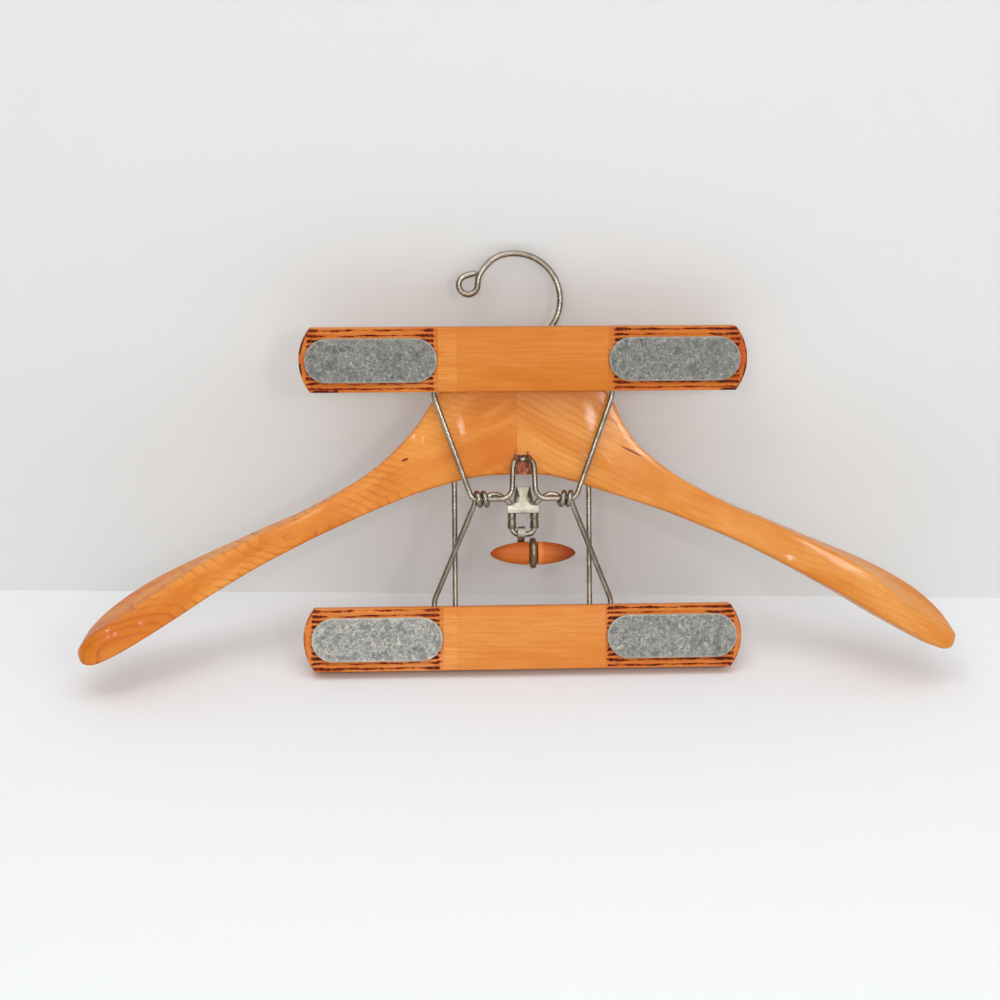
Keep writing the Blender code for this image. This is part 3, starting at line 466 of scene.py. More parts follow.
class Finish:
    """A material with short ways to add its nodes."""

    def __init__(self, name, **sockets):
        self.material = bpy.data.materials.new(name)
        self.material.use_nodes = True
        self.tree = self.material.node_tree
        self.shader = self.tree.nodes["Principled BSDF"]
        self.place = self.node("ShaderNodeTexCoord").outputs["Object"]
        for key, value in sockets.items():
            self.set(key.replace("_", " "), value)

    def set(self, socket, value):
        """Sets or links one of the shader's sockets."""
        self.feed(self.shader.inputs[socket], value)

    def feed(self, socket, value):
        """Sets a socket to a value, or links another node to it."""
        if isinstance(value, bpy.types.NodeSocket):
            self.tree.links.new(value, socket)
        else:
            socket.default_value = value

    def node(self, kind, inputs=(), **settings):
        """Adds a node with its settings, and sets or links its inputs."""
        made = self.tree.nodes.new(kind)
        for key, value in settings.items():
            setattr(made, key, value)
        for key, value in dict(inputs).items():
            self.feed(made.inputs[key], value)
        return made

    def laid(self, centre, turn=(0, 0, 0), size=(1, 1, 1)):
        """Coordinates about a centre, turned by degrees and measured in units of size."""
        made = self.node("ShaderNodeMapping", {"Vector": self.place}, vector_type="TEXTURE")
        made.inputs["Location"].default_value = centre
        made.inputs["Rotation"].default_value = [math.radians(a) for a in turn]
        made.inputs["Scale"].default_value = size
        return made.outputs["Vector"]

    def stretched(self, source, scale):
        """Coordinates multiplied by a scale along each axis."""
        made = self.node("ShaderNodeMapping", {"Vector": source})
        made.inputs["Scale"].default_value = scale
        return made.outputs["Vector"]

    def noise(self, source, scale=1.0, detail=2.0, roughness=0.5, distortion=0.0):
        """Cloudy noise. A scale given here or by stretching counts its waves in a metre."""
        made = self.node("ShaderNodeTexNoise", {"Vector": source, "Scale": scale, "Detail": detail,
                                                "Roughness": roughness, "Distortion": distortion})
        return made.outputs["Fac"]

    def math(self, operation, first, second=0.0, clamp=False):
        """One step of arithmetic on numbers or on what other nodes give."""
        made = self.node("ShaderNodeMath", operation=operation, use_clamp=clamp)
        self.feed(made.inputs[0], first)
        self.feed(made.inputs[1], second)
        return made.outputs["Value"]

    def plus(self, first, second):
        return self.math("ADD", first, second)

    def less(self, first, second):
        return self.math("SUBTRACT", first, second)

    def times(self, first, second, clamp=False):
        return self.math("MULTIPLY", first, second, clamp)

    def between(self, value, low, high):
        """0 at low and 1 at high, smooth between."""
        made = self.node("ShaderNodeMapRange", {"Value": value, "From Min": low, "From Max": high},
                         interpolation_type="SMOOTHSTEP")
        return made.outputs["Result"]

    def ramp(self, value, stops):
        """Colours or grey levels at places along a value, with even changes between them."""
        made = self.node("ShaderNodeValToRGB", {"Fac": value})
        elements = made.color_ramp.elements
        while len(elements) < len(stops):
            elements.new(1.0)
        for element, (position, colour) in zip(elements, stops):
            element.position = position
            element.color = colour if isinstance(colour, tuple) else (colour, colour, colour, 1)
        return made.outputs["Color"]

    def mix(self, share, first, second):
        """The first colour where share is 0 and the second where it is 1."""
        made = self.node("ShaderNodeMix", data_type="RGBA", clamp_factor=True)
        # Input 0 is the share, inputs 6 and 7 are the two colours, and output 2 is the mixed one
        self.feed(made.inputs[0], share)
        self.feed(made.inputs[6], first)
        self.feed(made.inputs[7], second)
        return made.outputs[2]

    def spot(self, centre, turn, size):
        """1 at the middle of an ellipsoid and 0 from its surface outwards."""
        about = self.laid(centre, turn, size)
        away = self.node("ShaderNodeTexGradient", {"Vector": about}, gradient_type="SPHERICAL")
        return away.outputs["Fac"]

    def flattened(self, x, z):
        """A place that keeps its X and Z, with nothing along Y."""
        made = self.node("ShaderNodeCombineXYZ", {"X": x, "Z": z})
        return made.outputs["Vector"]

    def axes(self, source):
        """The X, Y and Z of a coordinate."""
        parts = self.node("ShaderNodeSeparateXYZ", {"Vector": source})
        return parts.outputs["X"], parts.outputs["Y"], parts.outputs["Z"]

    def bump(self, height, depth, strength=1.0, socket="Normal"):
        """Makes the surface look raised by height times depth, in metres."""
        made = self.node("ShaderNodeBump", {"Height": height, "Distance": depth, "Strength": strength})
        self.set(socket, made.outputs["Normal"])


# Waves in a metre of the maple's patterns, along the grain and across it both ways
DRIFT_SCALE = (14, 30, 34)
FADING_SCALE = (24, 70, 70)
CLOUD_SCALE = (16, 50, 50)
FIBRE_SCALE = (40, 1000, 1000)
FLECK_SCALE = (240, 1900, 1900)
# How far the growth rings lean through the board, and how deep a nest of loops is in pitches
RING_LEAN = 0.4
NEST_DEPTH = 3
# A ring darkens slowly to a thin line, then starts pale again: (share of the ring, strength of the line)
RING_SHADE = ((0.0, 0.1), (0.1, 0.0), (0.5, 0.06), (0.78, 0.4), (0.88, 1.0), (0.96, 0.25))
MAPLE_LIGHT = tint(228, 152, 66)
MAPLE_DEEP = tint(202, 110, 26)
MAPLE_LINE = tint(172, 78, 20)
SCORCHED = tint(66, 18, 2)
SCORCH_EDGE = tint(156, 58, 12)


def maple(finish, centre, turn, light, deep, line, pitch, swirl, line_strength, fibre_strength=0.3, loops=()):
    """Maple sawn about a centre: growth lines, clouded colour and fine fibres. Gives colour and fibre height.

    The lines run along the turned X axis, pitch apart, and swirl makes them wander. Where the board was cut
    through the top of a ring they close into nested loops instead, given as (x, z, turn, stretch).
    """
    grown = finish.laid(centre, turn)
    _, y, z = finish.axes(grown)
    drift = finish.noise(finish.stretched(grown, DRIFT_SCALE), 1.0, 3.0, 0.5)
    depth = finish.plus(finish.times(z, 1 / pitch), finish.times(y, RING_LEAN / pitch))
    for number, (loop_x, loop_z, slope, stretch) in enumerate(loops):
        nest = (stretch * pitch, NEST_DEPTH * pitch, pitch)
        about = finish.laid((loop_x * MM, 0, loop_z * MM), (0, -slope, 0), nest)
        rings_out = finish.node("ShaderNodeVectorMath", {0: about}, operation="LENGTH").outputs["Value"]
        depth = finish.math("MINIMUM", depth, rings_out) if number else rings_out
    rings = finish.math("FRACT", finish.plus(depth, finish.times(drift, swirl)))
    line_shade = finish.ramp(rings, RING_SHADE)
    fading = finish.between(finish.noise(finish.stretched(grown, FADING_SCALE), 1.0, 3.0), 0.3, 0.6)
    cloud = finish.noise(finish.stretched(grown, CLOUD_SCALE), 1.0, 3.0, 0.55, 0.3)
    fibre = finish.noise(finish.stretched(grown, FIBRE_SCALE), 1.0, 4.0, 0.6)
    fleck = finish.between(finish.noise(finish.stretched(grown, FLECK_SCALE), 1.0, 2.0), 0.58, 0.74)
    colour = finish.mix(finish.between(cloud, 0.28, 0.7), deep, light)
    colour = finish.mix(finish.times(finish.times(line_shade, fading), line_strength), colour, line)
    colour = finish.mix(finish.times(finish.between(fibre, 0.58, 0.36), fibre_strength), colour, deep)
    colour = finish.mix(finish.times(fleck, 0.55 * fibre_strength), colour, line)
    return colour, fibre


LACQUER_RELIEF = 0.02 * MM
DIMPLE_SCALE = (1500, 1500, 700)
# A swelling reaches right through the wood, so that only its place on the face counts
SWELLING_THROUGH = 400 * MM


def lacquered(finish, fibre, swellings=()):
    """Lacquer that has sunk a little into the fibres and pulled up in soft waves.

    Hand sanding has left low swellings that catch the light, as (x, z, turn, length, width, height).
    """
    peel = finish.noise(finish.place, 260, 3.0, 0.55)
    finish.bump(finish.plus(finish.times(fibre, 0.5), peel), LACQUER_RELIEF, 0.5)
    dimples = finish.noise(finish.stretched(finish.place, DIMPLE_SCALE), 1.0, 2.0)
    coat = finish.times(finish.plus(peel, finish.times(dimples, 0.8)), 1.1 * LACQUER_RELIEF)
    for x, z, slope, length, width, height in swellings:
        size = (length / 2 * MM, SWELLING_THROUGH, width / 2 * MM)
        swelling = finish.spot((x * MM, 0, z * MM), (0, -slope, 0), size)
        coat = finish.plus(coat, finish.times(finish.between(swelling, 0, 1), height * MM))
    # The coat's height is already in metres
    finish.bump(coat, 1.0, 1.0, "Coat Normal")


def body_maple(name, centre, turn, light, deep, pitch, swirl, neck_lines, arm_lines, loops, marks, swellings):
    """A shoulder's maple, with small dark marks on its front as (x, z, turn, length, width) in millimetres.

    neck_lines and arm_lines say how strongly the growth lines show near the seam and out on the shoulder.
    """
    f = Finish(name, Roughness=0.5, Specular_IOR_Level=0.08, Coat_Weight=0.32, Coat_Roughness=0.12,
               Coat_IOR=1.45)
    out = f.math("ABSOLUTE", f.axes(f.place)[0])
    strength = f.times(f.between(out, NECK_GRAIN_END, ARM_GRAIN_START), arm_lines - neck_lines)
    strength = f.plus(strength, neck_lines)
    colour, fibre = maple(f, centre, turn, light, deep, MAPLE_LINE, pitch, swirl, strength, loops=loops)
    for x, z, slope, length, width in marks:
        size = (length / 2 * MM, MARK_DEPTH, width / 2 * MM)
        mark = f.spot((x * MM, HINGE.y + NECK_FACE, z * MM), (0, -slope, 0), size)
        colour = f.mix(f.between(mark, 0.05, 0.5), colour, tint(128, 48, 14))
    f.set("Base Color", f.mix(inside_notch(f), colour, raw_wood(f)))
    lacquered(f, fibre, swellings)
    return f.material


def inside_notch(f):
    """1 on the wood inside the notch, from a ragged line just behind the neck's face, and 0 elsewhere."""
    x, y, z = f.axes(f.laid(HINGE))
    ragged = f.times(f.less(f.noise(f.place, 900, 3.0), 0.5), 1 * MM)
    behind_face = f.between(f.plus(y, ragged), NECK_FACE + 0.05 * MM, NECK_FACE + 0.35 * MM)
    across = f.between(f.math("ABSOLUTE", x), NOTCH_HALF_WIDTH + 0.4 * MM, NOTCH_HALF_WIDTH + 0.2 * MM)
    inside = f.times(behind_face, across)
    inside = f.times(inside, f.between(z, NOTCH_TOP + 3 * MM, NOTCH_TOP + 2.8 * MM))
    return f.times(inside, f.between(y, NOTCH_BACK + 3 * MM, NOTCH_BACK + 2 * MM))


def raw_wood(f):
    """Rough, red-brown wood without lacquer."""
    torn = f.noise(f.stretched(f.place, (700, 700, 420)), 1.0, 4.0, 0.7)
    return f.ramp(torn, ((0.3, tint(98, 44, 20)), (0.48, tint(162, 86, 46)), (0.66, tint(220, 160, 122))))


def bar_maple(name, bar_centre, tilt, half_length, inner, light, deep, tone_steps, edge_burn):
    """A clamp bar's straight-grained maple with the scorched grooves of its pad seats.

    The seats run from inner to half_length both ways. tone_steps are (x, share): right of x, in millimetres,
    the wood is that much deeper. edge_burn says how strongly the ends are smoked and their rims singed.
    """
    f = Finish(name, Roughness=0.5, Specular_IOR_Level=0.08, Coat_Weight=0.14, Coat_Roughness=0.24,
               Coat_IOR=1.4)
    here = f.laid(bar_centre, (tilt, 0, 0))
    x, y, z = f.axes(here)
    away = f.math("ABSOLUTE", x)
    grain_centre = bar_centre + BAR_GRAIN_FROM_CENTRE
    colour, fibre = maple(f, grain_centre, (0, 1, 2), light, deep, MAPLE_LINE,
                          pitch=3.4 * MM, swirl=2.2, line_strength=0.3, fibre_strength=0.6)
    for step, share in tone_steps:
        toned = f.mix(share, colour, deep)
        colour = f.mix(f.between(x, step * MM, (step + 0.15) * MM), colour, toned)

    # reach is how far out a point lies, a little more or less from groove to groove
    by_row = f.noise(f.stretched(f.flattened(x, z), (1.3, 1, 740)), 1.0, 1.0)
    reach = f.plus(away, f.times(f.less(by_row, 0.5), GROOVE_RAGGED))
    start, end = inner + GROOVE_FROM_SEAT, half_length - GROOVE_FROM_END
    on_face = f.between(y, BAR_FACE + 2 * MM, BAR_FACE + 1.3 * MM)
    in_seat = f.times(f.between(away, inner, inner + 0.2 * MM), on_face)
    colour = f.mix(f.times(in_seat, seat_warmth(f, here, reach, end, edge_burn)), colour, tint(188, 84, 28))
    burnt = f.times(burnt_grooves(f, here, reach, start, end), in_seat)
    burnt = f.math("MAXIMUM", burnt, f.times(singed_rims(f, here, half_length, end), edge_burn))
    singed = f.mix(f.between(burnt, 0.3, 0.9), SCORCH_EDGE, SCORCHED)
    f.set("Base Color", f.mix(f.between(burnt, 0.0, 0.45), colour, singed))
    lacquered(f, fibre)
    return f.material


def seat_warmth(f, here, reach, end, edge_burn):
    """How much warmer a seat is than the bar's middle: in soft bands, and smoked towards the bar's end."""
    bands = f.times(f.noise(f.stretched(here, (40, 40, 300)), 1.0, 2.0), 0.5)
    smoke = f.between(f.noise(f.place, 160, 3.0), 0.36, 0.6)
    smoked = f.times(f.between(reach, end - 11 * MM, end), smoke)
    return f.math("MAXIMUM", bands, f.times(smoked, edge_burn))


def burnt_grooves(f, here, reach, start, end):
    """1 in the scorched grooves, which run from start to end and are burnt widest near both."""
    near_ends = f.math("MAXIMUM", f.between(reach, start + 12 * MM, start),
                       f.between(reach, end - 14 * MM, end))
    sway = f.times(f.less(f.noise(f.stretched(here, (60, 1, 200)), 1.0, 2.0), 0.5), 0.3)
    rows = f.plus(f.times(f.axes(here)[2], 1 / GROOVE_PITCH), f.plus(sway, 0.5))
    off_groove = f.math("PINGPONG", rows, 0.5)
    width = f.noise(f.stretched(here, (85, 1, 370)), 1.0, 5.0, 0.68)
    width = f.between(f.plus(width, f.times(near_ends, 0.16)), 0.34, 0.68)
    burnt = f.times(f.less(f.times(width, 0.46), off_groove), 3.2, clamp=True)
    grit = f.between(f.noise(f.stretched(here, (700, 300, 420)), 1.0, 3.0, 0.65), 0.3, 0.6)
    scored = f.times(f.between(reach, start, start + 0.5 * MM), f.between(reach, end, end - 0.6 * MM))
    return f.times(f.times(burnt, f.plus(f.times(grit, 0.55), 0.45)), scored)


def singed_rims(f, here, half_length, end):
    """1 in patches along the front rims of the rounded ends and of the lower edge below the seats."""
    x, y, z = f.axes(here)
    away = f.math("ABSOLUTE", x)
    bulge = f.times(f.times(z, z), 1 / BAR_END_ROUND / 2)
    from_end = f.less(f.less(half_length, bulge), away)
    # Towards the bar's middle the lower edge counts as a metre away, so that it stays clean
    clean_middle = f.between(away, end - 16 * MM, end - 24 * MM)
    from_rim = f.math("MINIMUM", from_end, f.plus(f.plus(z, BAR_HEIGHT / 2), clean_middle))
    near_face = f.between(y, BAR_FACE + 3.5 * MM, BAR_FACE + 1.5 * MM)
    patchy = f.times(f.between(f.noise(f.place, 130, 2.0), 0.38, 0.56), near_face)
    return f.times(f.between(from_rim, 1.3 * MM, 0.5 * MM), patchy)


def grip_maple():
    """The grip's red-brown stained maple, darker towards its ends, most of all on the right, and paler just
    beside the ring.
    """
    f = Finish("red_brown_grip", Roughness=0.55, Specular_IOR_Level=0.1, Coat_Weight=0.45,
               Coat_Roughness=0.36, Coat_IOR=1.4)
    colour, fibre = maple(f, GRIP_AXIS, (0, 3, 0), tint(192, 100, 29), tint(168, 78, 18), tint(110, 42, 8),
                          pitch=3 * MM, swirl=3.0, line_strength=0.3)
    x = f.axes(f.laid(GRIP_AXIS))[0]
    right_end = f.between(x, 5 * MM, 20 * MM)
    left_end = f.times(f.between(x, -13 * MM, -22 * MM), 0.55)
    colour = f.mix(f.times(f.math("MAXIMUM", right_end, left_end), 0.85), colour, tint(122, 36, 4))
    pale_beside_ring = f.times(f.between(x, 6 * MM, 3.4 * MM), f.between(x, 1.5 * MM, 3 * MM))
    f.set("Base Color", f.mix(f.times(pale_beside_ring, 0.5), colour, tint(236, 142, 76)))
    lacquered(f, fibre)
    return f.material


def dowel_beech():
    """Pale wood without lacquer."""
    f = Finish("bare_dowel", Roughness=0.7)
    colour, fibre = maple(f, HINGE, (0, 0, 0), tint(214, 178, 132), tint(196, 156, 108), tint(150, 108, 68),
                          pitch=1.5 * MM, swirl=2.0, line_strength=0.4)
    f.set("Base Color", colour)
    f.bump(fibre, 0.05 * MM)
    return f.material


def nickel(name, bright, dull, roughness):
    """Aged plating: a warm grey metal, clouded with faint tarnish and drawing marks."""
    f = Finish(name, Metallic=1.0)
    cloud = f.noise(f.place, 90, 4.0, 0.6)
    speck = f.between(f.noise(f.place, 1500, 2.0), 0.58, 0.72)
    colour = f.mix(f.between(cloud, 0.35, 0.68), bright, dull)
    f.set("Base Color", f.mix(f.times(speck, 0.35), colour, tint(92, 80, 62)))
    # The clouds make the metal's shine come and go by this much around its middle
    unevenness = 0.22
    f.set("Roughness", f.plus(f.times(cloud, unevenness), roughness - unevenness / 2))
    f.bump(f.noise(f.place, 1200, 3.0), 0.02 * MM, 0.12)
    return f.material


def felt(name, shade):
    """Grey heather felt: mixed light and dark fibres matted in all directions, with a paler cut rim."""
    def shaded(*channels):
        return tint(*(shade * channel for channel in channels))

    f = Finish(name, Roughness=0.95, Sheen_Weight=0.25, Sheen_Roughness=0.5)
    matted = f.noise(f.place, 430, 5.0, 0.72, 1.6)
    fibres = f.noise(f.place, 1500, 4.0, 0.7, 2.5)
    cloud = f.noise(f.place, 230, 3.0, 0.65)
    colour = f.ramp(matted, ((0.32, shaded(72, 73, 76)), (0.45, shaded(120, 120, 117)),
                             (0.55, shaded(142, 141, 134)), (0.68, shaded(192, 188, 176))))
    colour = f.mix(f.times(f.between(fibres, 0.58, 0.7), 0.7), colour, shaded(206, 202, 188))
    colour = f.mix(f.times(f.between(fibres, 0.42, 0.3), 0.7), colour, shaded(66, 67, 70))
    colour = f.mix(f.times(f.between(cloud, 0.5, 0.64), 0.6), colour, shaded(88, 89, 88))
    rim = f.node("ShaderNodeAttribute", attribute_name="rim").outputs["Fac"]
    f.set("Base Color", f.mix(f.times(rim, 0.45), colour, shaded(196, 192, 176)))
    f.bump(f.plus(matted, fibres), 0.35 * MM, 0.8)
    return f.material


LEFT_MAPLE = body_maple(
    "lacquered_maple_left", Vector((-120, 0, -128)) * MM, (0, -27, 0), MAPLE_LIGHT, MAPLE_DEEP,
    pitch=2.9 * MM, swirl=4.6, neck_lines=0.3, arm_lines=0.85,
    loops=((-121.5, -141.4, 4, 2.4), (-199, -199, 27, 1.8)),
    marks=((-57.3, -103.9, 20, 5.0, 2.0),),
    swellings=((-32, -86.6, -75, 34, 13, 0.36), (-50, -94.6, -80, 16, 9, 0.2),
               (-207, -192, 30, 14, 11, 0.5), (-190, -186, 30, 10, 8, 0.36)))
RIGHT_MAPLE = body_maple(
    "lacquered_maple_right", Vector((60, 0, -90)) * MM, (0, 27, 0), tint(224, 153, 74), tint(206, 120, 36),
    pitch=3.3 * MM, swirl=4.5, neck_lines=0.6, arm_lines=0.3,
    loops=(),
    marks=((59.3, -100.6, -27, 17.0, 1.5),),
    swellings=((40.5, -105, -35, 20, 10, 1.0), (35, -84.5, -80, 30, 14, 0.2),
               (140, -159, -30, 14, 9, 0.24), (170, -166, -30, 80, 18, 0.34)))
NICKEL = nickel("aged_nickel", tint(166, 157, 143), tint(128, 119, 105), 0.27)
PLATED_SHEET = nickel("plated_sheet", tint(172, 165, 150), tint(136, 128, 112), 0.34)
# A darker copy of the plated sheet: painted shade on the catch plate's wings, which face sideways and down
SHADED_WING_SHEET = nickel("painted_shade_wing_sheet", tint(122, 114, 96), tint(92, 84, 66), 0.4)
ROLLED_SHEET = nickel("rolled_sheet", tint(134, 127, 110), tint(102, 95, 78), 0.34)
DARK_NICKEL = nickel("dark_ring_wire", tint(138, 124, 102), tint(108, 94, 74), 0.32)
# The shade factor scales each pad's felt colours. The rear pads' paler tones are partly a paler felt and
# partly painted light, for the extra light that the rear pads catch
FRONT_FELT = felt("grey_heather_felt", 0.97)
REAR_FELT = felt("pale_and_painted_lit_felt", 1.2)
RIGHT_REAR_FELT = felt("mid_and_painted_lit_felt", 1.08)


# The wooden body

def outline(points, past_tip=None):
    """A smooth line through a table, as arrays of distances and of values. past_tip lies round the tip."""
    steps = 10
    through = [(a, b, 0) for a, b in points]
    if past_tip:
        curve = smooth_through(through + [(*past_tip, 0)], steps)[:-steps]
    else:
        curve = smooth_through(through, steps)
    curve = np.array([(p.x, p.y) for p in curve]) * MM
    return curve[:, 0], curve[:, 1]


def shoulder_section(x, top, bottom, depth, drop, ridge_radius):
    """The closed section of a shoulder at x: corners rounded, sides between them divided."""
    reach = max(0.0, x - CURL_START) / (TOP_LEFT[-1][0] * MM - CURL_START)
    middle = -SHOULDER_CURL * reach**CURL_POWER
    front, rear = middle - depth / 2, middle + depth / 2
    radii = (EDGE_RADII[0], ridge_radius, EDGE_RADII[2], EDGE_RADII[3])
    corners = [Vector(place) for place in ((rear, top), (front, top - drop), (front, bottom), (rear, bottom))]
    made = []
    for i, corner in enumerate(corners):
        before, following = corners[i - 1] - corner, corners[(i + 1) % 4]
        after = following - corner
        start = corner + before * min(CORNER_SHARE, radii[i] / before.length)
        end = corner + after * min(CORNER_SHARE, radii[i] / after.length)
        for t in np.linspace(0, 1, CORNER_POINTS):
            made.append((1 - t)**2 * start + 2 * t * (1 - t) * corner + t**2 * end)
        next_start = following - after * min(CORNER_SHARE, radii[(i + 1) % 4] / after.length)
        made += [end.lerp(next_start, k / SIDE_PARTS) for k in range(1, SIDE_PARTS)]
    return made


def shoulder(name, side, top_points, ridge_drops, under_points, finish, node):
    """Half of the body, drawn out from the seam ring by ring. Side is -1 on the left and 1 on the right."""
    tops, unders = outline(top_points, under_points[-2]), outline(under_points, top_points[-2])
    drops, depths = outline(ridge_drops), outline(SHOULDER_DEPTH)
    reach = top_points[-1][0] * MM - SEAM_GAP
    build = bmesh.new()
    ring = None
    for i in range(BODY_STATIONS):
        share = math.sin(math.pi / 2 * i / (BODY_STATIONS - 1))
        x = SEAM_GAP / 2 + share * (reach - SEAM_GAP / 2)
        top, bottom, depth = (float(np.interp(x, *line)) for line in (tops, unders, depths))
        drop = min(float(np.interp(x, *drops)), DROP_SHARE * (top - bottom))
        fade = np.interp(x, RIDGE_FADE, (0, 1)) if side > 0 else 0
        ridge_radius = EDGE_RADII[1] + (FADED_RADIUS - EDGE_RADII[1]) * fade**2 * (3 - 2 * fade)
        section = shoulder_section(x, top, bottom, depth, drop, ridge_radius)
        if ring is None:
            ring = bmesh.ops.create_circle(build, segments=len(section), radius=1)["verts"]
            edges = build.edges[:]
            bmesh.ops.contextual_create(build, geom=edges)
        else:
            drawn = bmesh.ops.extrude_edge_only(build, edges=edges)["geom"]
            edges = [e for e in edges_in(drawn) if not any(v in ring for v in e.verts)]
            new = {v for e in edges for v in e.verts}
            ring = [next(e.other_vert(v) for e in v.link_edges if e.other_vert(v) in new) for v in ring]
        for vert, (y, z) in zip(ring, section):
            vert.co = (side * x, y, HINGE.z + z)
    bmesh.ops.contextual_create(build, geom=edges)
    bmesh.ops.recalc_face_normals(build, faces=build.faces)
    sand(build, reach)
    piece = solid(name, build)
    carve(piece, solid("holes_tool", body_holes(side)), solid("notch_tool", notch_tool()),
          solid("torn_marks_tool", torn_marks_tool()))
    finished(piece, finish, "hanger", [node], smooth_angle=32)


def sand(build, reach):
    """Lets the faces wander a little, as they were sanded by hand."""
    build.normal_update()
    for vert in build.verts:
        out = abs(vert.co.x)
        inward = min(1.0, out / SANDING_FROM_SEAM) * min(1.0, max(0.0, reach - out) / SANDING_FROM_TIP)
        wave = noise.noise(vert.co / SANDING_LENGTH) - SANDING_SUNK
        vert.co += vert.normal * wave * SANDING_WAVES * inward


def body_holes(side):
    """The hook's hole and the suspension wire's hole."""
    build = bmesh.new()
    wire_x = HINGE.x + side * SUSPENSION_HALF_SPACING
    cylinder_along(build, (0, 0, HINGE.z + STEM_HOLE_START), (0, 0, 1), STEM_HOLE / 2, BODY_HOLE_LENGTH)
    cylinder_along(build, (wire_x, 0, HINGE.z + WIRE_HOLE_START), (0, 0, 1), WIRE_HOLE / 2, BODY_HOLE_LENGTH)
    return build


def notch_tool():
    """The recess for the catch loop's crown, round at the top and with a torn back."""
    build = bmesh.new()
    bmesh.ops.create_grid(build, x_segments=22, y_segments=34, size=1)
    for vert in build.verts:
        across, rise = vert.co.x, (vert.co.y + 1) / 2
        z = NOTCH_LOW + rise * (NOTCH_TOP - NOTCH_LOW)
        over = max(0.0, z - (NOTCH_TOP - NOTCH_ROUND))
        half_width = NOTCH_HALF_WIDTH - NOTCH_ROUND + math.sqrt(max(0.0, NOTCH_ROUND**2 - over**2))
        torn = noise.fractal(Vector((across * 4.2, rise * 9, 0.3)), 0.9, 2.0, 4)
        inner = (1 - abs(across) ** 4) * (1 - rise**8)
        vert.co = HINGE + Vector((across * half_width, NOTCH_BACK + torn * inner * NOTCH_TORN, z))
    drawn = bmesh.ops.extrude_face_region(build, geom=build.faces[:])["geom"]
    for vert in verts_in(drawn):
        vert.co.y = HINGE.y + NOTCH_FRONT
    bmesh.ops.recalc_face_normals(build, faces=build.faces)
    return build


def torn_marks_tool():
    """The two torn marks that the catch loop has left above its notch."""
    build = bmesh.new()
    low_radius, high_radius = TORN_MARK_RADII
    for x, tilt in TORN_MARKS:
        mark = Matrix.Translation(HINGE + Vector((x * MM, TORN_MARK_BACK, NOTCH_TOP + TORN_MARK_RISE)))
        mark = mark @ Matrix.Rotation(math.radians(tilt), 4, "Y")
        bmesh.ops.create_cone(build, cap_ends=True, segments=7, radius1=low_radius, radius2=high_radius,
                              depth=TORN_MARK_LENGTH, matrix=mark)
    return build


shoulder("shoulder_left", -1, TOP_LEFT, RIDGE_DROP_LEFT, UNDERSIDE_LEFT, LEFT_MAPLE, "body_left_half")
shoulder("shoulder_right", 1, TOP_RIGHT, RIDGE_DROP_RIGHT, UNDERSIDE_RIGHT, RIGHT_MAPLE, "body_right_half")
DOWEL = dowel_beech()
for dowel in ("seam_dowel_lower", "seam_dowel_upper"):
    frame["nodes"][dowel].data.materials.clear()
    frame["nodes"][dowel].data.materials.append(DOWEL)


# The hook and the straight suspension wires

def arc(centre, radius, first, last, steps):
    """Points on a circle in the XZ plane, by angle in degrees from +X towards +Z."""
    angles = np.radians(np.linspace(first, last, steps + 1))
    return [Vector((centre[0] + radius * math.cos(a), 0, centre[1] + radius * math.sin(a))) for a in angles]


def hook_route():
    """From the stem in the wood, up round the crook and into the rolled eye."""
    centre = (0.0, HOOK_WIRE / 2 - HOOK_RADIUS)

    def from_centre(*places):
        return [Vector((x * MM + centre[0], 0, z * MM + centre[1])) for x, z in places]

    neck = math.radians(HOOK_NECK_ANGLE)
    turn = math.pi / 2 + neck
    end = Vector((math.cos(neck), 0, math.sin(neck))) * HOOK_RADIUS + Vector((centre[0], 0, centre[1]))
    bend_radius = end.x / (1 - math.sin(turn))
    stem_top = end.z - bend_radius * math.cos(turn)
    route = [Vector((0, 0, HOOK_STEM_FOOT)), Vector((0, 0, (HOOK_STEM_FOOT + stem_top) / 2))]
    route += arc((bend_radius, stem_top), bend_radius, 180, 90 + math.degrees(turn), 20)
    route += arc(centre, HOOK_RADIUS, HOOK_NECK_ANGLE, HOOK_ARC_END, 90)[1:]
    eye = from_centre(HOOK_EYE_CENTRE)[0]
    roll = arc((eye.x, eye.z), HOOK_EYE_RADIUS, HOOK_EYE_START, HOOK_EYE_END - 360, 60)
    route += smooth_through([route[-1], *from_centre(*HOOK_TIP), roll[0]], 12)[1:-1]
    return route + roll[:-1] + smooth_through([roll[-1], *from_centre(*HOOK_EYE_TIP)], 6)


wire("hook_wire", hook_route(), HOOK_WIRE, NICKEL, "hook", ["hook"])
for side, wire_name in ((-1, "suspension_wire_left"), (1, "suspension_wire_right")):
    x = HINGE.x + side * SUSPENSION_HALF_SPACING
    low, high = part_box(wire_name)
    route = [Vector((x, 0, z)) for z in np.linspace(low.z, high.z, 12)]
    wire("long_" + wire_name, route, FRAME_WIRE, NICKEL, "hanger", [wire_name])


# The clamp's bars and pads

def slab(half_length, end_radius, end_span, face, thickness):
    """A slab with rounded ends, from face backwards. An end turns by end_span to either side of its tip."""
    build = bmesh.new()
    corners = []
    for side in (1, -1):
        for angle in np.linspace(-end_span, end_span, END_POINTS):
            across = half_length - end_radius + end_radius * math.cos(angle)
            corners.append(build.verts.new((side * across, face, side * end_radius * math.sin(angle))))
    front = build.faces.new(corners)
    drawn = bmesh.ops.extrude_face_region(build, geom=[front])["geom"]
    bmesh.ops.translate(build, vec=(0, thickness, 0), verts=verts_in(drawn))
    bmesh.ops.recalc_face_normals(build, faces=build.faces)
    return build


